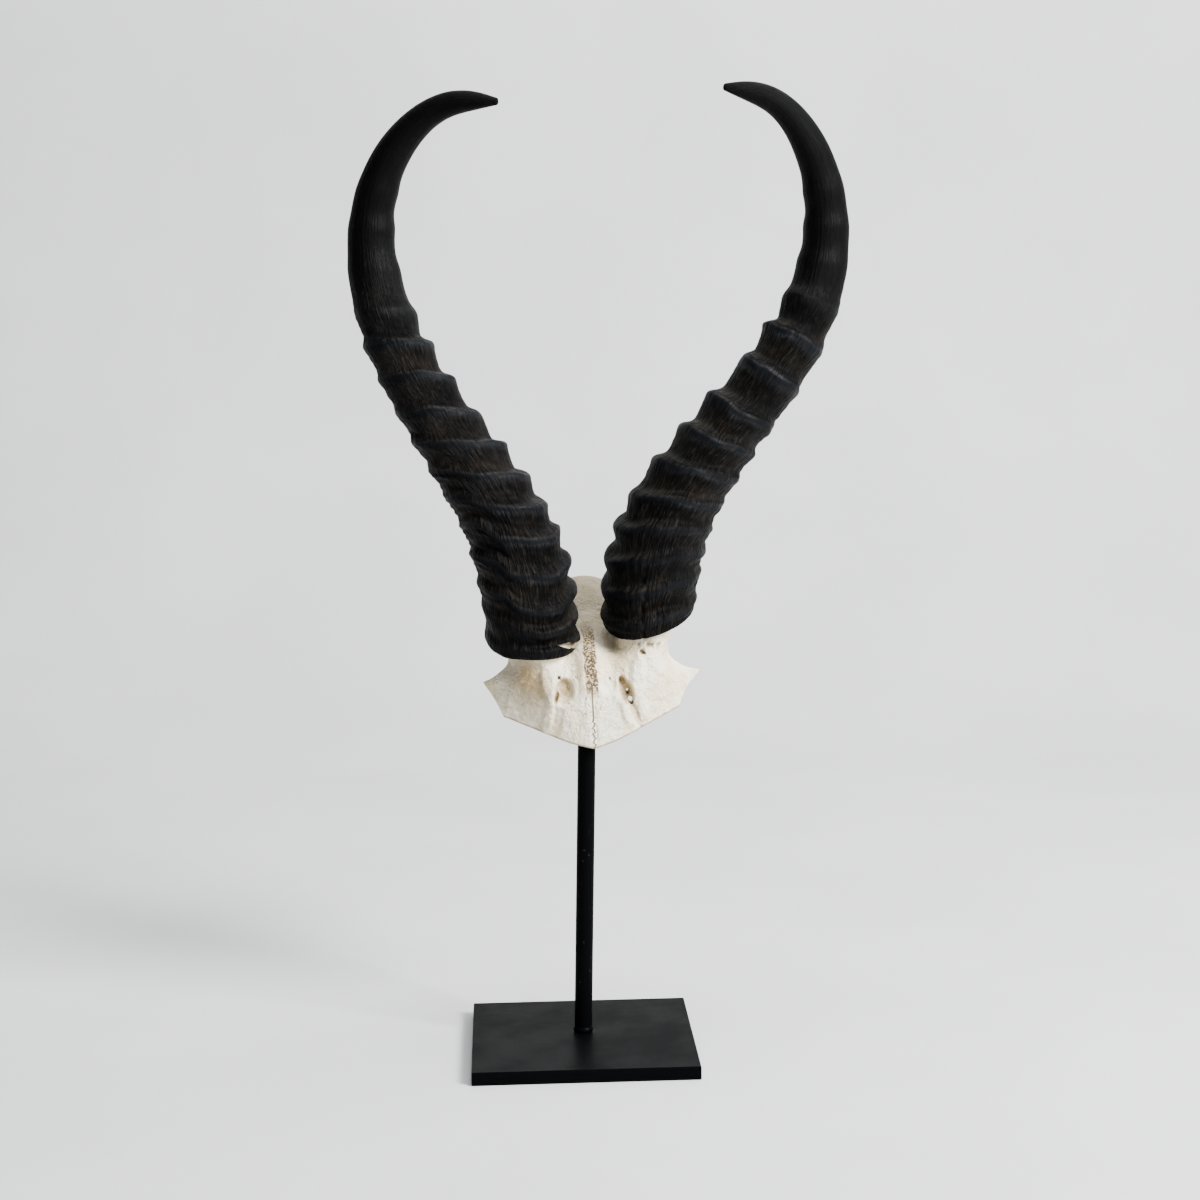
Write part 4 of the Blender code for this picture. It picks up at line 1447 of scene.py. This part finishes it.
    def carve(self, made: Piece) -> None:
        """Presses the pits, ridges and uneven grain of the forehead into the bone.

        Args:
            made: the cap.
        """
        skull, front = self.in_front(made)
        x, z = skull[:, 0], skull[:, 2]
        depth = np.zeros(len(x))
        for pit in self.pits:
            depth = np.maximum(depth, pit.depth * pit.share(x, z))
        for ridge in self.ridges:
            depth += ridge.depth * ridge.share(x, z)
        places = skull * np.array(self.grain_squash)
        depth += 0.2 * ripple(places, 3.2, 8, 40) * smoothstep(12, 20, np.abs(x))
        depth += 0.15 * ripple(places, 7, 9)
        depth += 0.4 * np.exp(-((x / 2.2) ** 4)) * smoothstep(22, 28, z) + 0.15 * mound(x / 1.2)
        skull[:, 1] += depth * front
        place_vertices(made, self.to_world(skull))

    def pierce(self, made: Piece) -> None:
        """Cuts the holes that go right through, with elliptical plugs, by a Boolean that is then applied.

        Args:
            made: the cap.
        """
        for number, hole in enumerate(self.holes):
            angle = np.arange(self.plug_sides) * TURN / self.plug_sides
            x, z = turned(hole.half_x * np.cos(angle), hole.half_z * np.sin(angle), hole.turn)
            rims = [np.stack([hole.x + x, np.full_like(x, y), hole.z + z], -1) for y in self.plug_depths]
            wall = closed_quads(2, self.plug_sides, 0)[0]
            ends = np.arange(2 * self.plug_sides).reshape(2, -1)
            plug = mesh_object(f"plug_{number}", self.to_world(np.vstack(rims)) * MM, [wall, ends])
            boolean = made.modifiers.new("pierce", "BOOLEAN")
            boolean.operation, boolean.solver, boolean.object = "DIFFERENCE", "EXACT", plug
            cut = made.evaluated_get(bpy.context.evaluated_depsgraph_get())
            pierced = bpy.data.meshes.new_from_object(cut)
            made.modifiers.clear()
            made.data = pierced
            bpy.data.objects.remove(plug)

    def stain_and_shade(self, made: Piece) -> None:
        """Stores the skull-frame places and how tan, dark, scored and sawn each vertex is, where the tan and
        dark are partly stains and pores and partly painted shade, and how much grey painted shade each vertex
        has.

        Args:
            made: the cap.
        """
        skull, front = self.in_front(made)
        x, y, z = skull.T
        stain_and_shade, dark = np.zeros(len(x)), np.zeros(len(x))
        for pit in self.pits:
            share = pit.share(x, z)
            stain_and_shade = np.maximum(stain_and_shade, pit.stain_and_shade * smoothstep(0, 0.6, share))
            dark = np.maximum(dark, pit.dark * smoothstep(0.35, 0.9, share))
        cloud = 0.5 + 0.5 * ripple(skull * np.array(self.grain_squash), 9, 12)
        # painted shade with a granular tan stain on the left pedicle's flank, which faces away from the light
        pedicle = mound((x + 27) / 8, (z - 30) / 14) * (0.68 + 0.3 * cloud)
        # painted shade under the right sheath's rim
        shade_under_rim = 0.24 * smoothstep(38, 46, z) * (0.4 + cloud) * smoothstep(12, 18, x)
        # painted shade in the valley between the horns
        valley_shade = 0.2 * smoothstep(28, 44, z) * (1 - smoothstep(9, 15, np.abs(x)))
        # painted shade on the right pedicle's inner flank, which faces away from the light
        flank_shade = 0.34 * smoothstep(26, 34, z) * mound((x - 11.5) / 3) * (0.5 + 0.6 * cloud)
        stain_and_shade = np.maximum.reduce([stain_and_shade, pedicle, shade_under_rim, valley_shade, flank_shade])
        stain_and_shade *= 1 - mound((x + 17) / 6, (z - 45) / 5)
        # painted shade: grey over the valley and roof between the horns, and on the left pedicle's flank,
        # which turns away from the light
        painted_shade = 0.65 * smoothstep(36, 54, z) * (1 - smoothstep(10, 20, np.abs(x)))
        painted_shade = np.maximum(painted_shade, 0.85 * mound((x + 28) / 9, (z - 33) / 12) * (y < 40))
        normals = read_vertices(made, "normal")
        inside = ((normals[:, 1] > 0.2) & (y < 26)) | (normals[:, 2] < -0.2)
        values = {
            "skull": skull,
            "front": front,
            "stain_and_shade": stain_and_shade * np.maximum(front, smoothstep(44, 50, z)) + 0.2 * inside * cloud,
            "pore_and_pit_shade": dark * front,
            "painted_shade": painted_shade,
            "scored": front * window((1, 3), (14, 18), x) * (1 - smoothstep(20, 26, z)),
            "sawn": 0.85 * (1 - smoothstep(0.2, 1.2, np.abs(z - self.saw_slope * y))),
        }
        for key, value in values.items():
            set_attribute(made.data, key, value)


# -------------------- stand


@dataclass
class Stand:
    """The black steel plate and rod and the two screws behind the bone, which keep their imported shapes."""

    black: SteelFinish = SteelFinish("black_satin_steel", (0.0012, 0.0013, 0.0015), 0.0, 0.40, 1.06)
    bright: SteelFinish = SteelFinish("bright_screw_steel", (0.42, 0.42, 0.43), 1.0, 0.3, 1.5)

    def dress(self) -> None:
        """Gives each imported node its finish."""
        black, bright = self.black.material(), self.bright.material()
        finishes = {"base_plate": black, "post": black, "tab_screw_lower": bright, "tab_screw_upper": bright}
        for node, material in finishes.items():
            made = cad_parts[node]
            made.data.materials.clear()
            made.data.materials.append(material)
            LOG.info("dressed %s", node)


# -------------------- studio


@dataclass(frozen=True)
class SoftLight:
    """One square soft light: where it stands, what it aims at, its size in metres, power and colour."""

    name: str
    place: Triple
    aim: Triple
    size: float
    power: float
    colour: Triple

    def build(self) -> None:
        """Adds the light."""
        data = bpy.data.lights.new(self.name, "AREA")
        data.shape, data.size, data.energy, data.color = "SQUARE", self.size, self.power, self.colour
        made = bpy.data.objects.new(self.name, data)
        made.location = self.place
        made.rotation_euler = (Vector(self.aim) - Vector(self.place)).to_track_quat("-Z", "Y").to_euler()
        bpy.context.scene.collection.objects.link(made)


@dataclass
class Studio:
    """A pale sweep of floor and wall, soft lights and the camera."""

    camera_place: Triple = (-0.0315, -1.0246, 0.3426)
    yaw: float = math.radians(-2.364)
    pitch: float = math.radians(7.665)
    roll: float = math.radians(-0.84)
    lens: float = 70.0
    lights: tuple[SoftLight, ...] = (
        SoftLight("key_right", (1.1, -0.92, 1.1), (0, 0, 0.25), 0.6, 125.0, (0.985, 0.99, 1.0)),
        SoftLight("fill_left", (-1.0, -1.3, 0.7), (0, 0, 0.25), 1.0, 1.5, (0.85, 0.93, 1.0)),
        SoftLight("top", (0.15, -0.3, 1.5), (0, 0.0, 0.2), 0.7, 4.0, (0.85, 0.93, 1.0)),
        SoftLight("wall_wash", (0.3, 0.25, 1.7), (0.1, 1.1, 0.45), 1.2, 45.0, (0.97, 0.985, 1.0)),
    )

    def build(self) -> None:
        """Adds everything that isn't part of the object."""
        self.sweep()
        for light in self.lights:
            light.build()
        world = bpy.data.worlds.new("studio_air")
        world.use_nodes = True
        background = world.node_tree.nodes["Background"]
        background.inputs["Color"].default_value = (0.86, 0.90, 0.94, 1)
        background.inputs["Strength"].default_value = 0.07
        bpy.context.scene.world = world
        self.camera()

    def sweep(self) -> None:
        """A floor that curves up into a wall: the profile is flat, then a quarter circle, then upright."""
        turn = np.linspace(0, math.pi / 2, 17)
        radius, front, wall, top, half = 0.5, -3.0, 1.1, 3.2, 3.5
        y = np.r_[front, wall - radius + radius * np.sin(turn), wall]
        z = np.r_[0, radius - radius * np.cos(turn), top]
        points = np.stack([np.stack([np.full_like(y, x), y, z], -1) for x in (-half, half)])
        row = np.arange(len(y) - 1)
        cells = np.stack([row, row + len(y), row + len(y) + 1, row + 1], -1)
        made = mesh_object("studio_sweep", points, [cells])
        bench = NodeBench("pale_paper")
        clouds = bench.noise(bench.place(), 6, 3, 0.5)
        colour = bench.blend(bench.between(clouds, 0.3, 0.7), (0.52, 0.52, 0.515), (0.56, 0.56, 0.555))
        made.data.materials.append(bench.finish(Base_Color=colour, Roughness=0.9))

    def camera(self) -> None:
        """A camera whose axes come from its yaw, pitch and roll."""
        forward = Vector(
            (
                -math.sin(self.yaw) * math.cos(self.pitch),
                math.cos(self.yaw) * math.cos(self.pitch),
                -math.sin(self.pitch),
            )
        )
        right = Vector((math.cos(self.yaw), math.sin(self.yaw), 0))
        up = right.cross(forward)
        turned_right = right * math.cos(self.roll) + up * math.sin(self.roll)
        turned_up = up * math.cos(self.roll) - right * math.sin(self.roll)
        data = bpy.data.cameras.new("camera")
        data.lens, data.sensor_width = self.lens, 36.0
        data.clip_start, data.clip_end = 0.05, 30
        made = bpy.data.objects.new("camera", data)
        axes = Matrix((turned_right, turned_up, -forward)).transposed().to_4x4()
        made.matrix_world = Matrix.Translation(Vector(self.camera_place)) @ axes
        bpy.context.scene.collection.objects.link(made)
        bpy.context.scene.camera = made


# -------------------- main


def hand_over(made: Piece, node: str, material: bpy.types.Material) -> None:
    """Dresses a new piece, rides it on the body and stands it in for its node.

    Args:
        made: the piece.
        node: the node it stands for.
        material: its finish.
    """
    made.data.materials.clear()
    made.data.materials.append(material)
    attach(made, BODY)
    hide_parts(node)
    LOG.info("%s: %d faces", made.name, len(made.data.polygons))


def main() -> None:
    """Builds the horns, the skull cap, the stand and the studio."""
    logging.basicConfig(level=logging.INFO, format="%(name)s: %(message)s")
    keratin, bone = HornFinish().material(), BoneFinish().material()
    sheaths = (
        HornSheath(
            name="horn_sheath_left",
            node="horn_left",
            line=LEFT_LINE,
            rings=(3.5, 12, 21.5, 35.5, 50, 63.5, 78, 94, 110, 128.5, 145, 160),
            swellings=(179, 198, 215),
            bold_bearing=40,
            rim_tilt=-0.3,
            step=4.6,
            tear=Tear(),
            seed=11,
            rim_drop=0.31,
            rim_square=2.9,
        ),
        HornSheath(
            name="horn_sheath_right",
            node="horn_right",
            line=RIGHT_LINE,
            rings=(6, 19, 31, 43, 55.5, 70, 85.5, 101, 123, 143, 161),
            swellings=(179, 196, 212),
            bold_bearing=140,
            rim_tilt=4.4,
            step=0.0,
            tear=None,
            seed=23,
            crack=101,
        ),
    )
    for sheath in sheaths:
        hand_over(sheath.build(), sheath.node, keratin)
    cap = SkullCap()
    hand_over(cap.build({Side.LEFT: LEFT_LINE, Side.RIGHT: RIGHT_LINE}), cap.node, bone)
    Stand().dress()
    Studio().build()


if __name__ == "__main__":
    main()
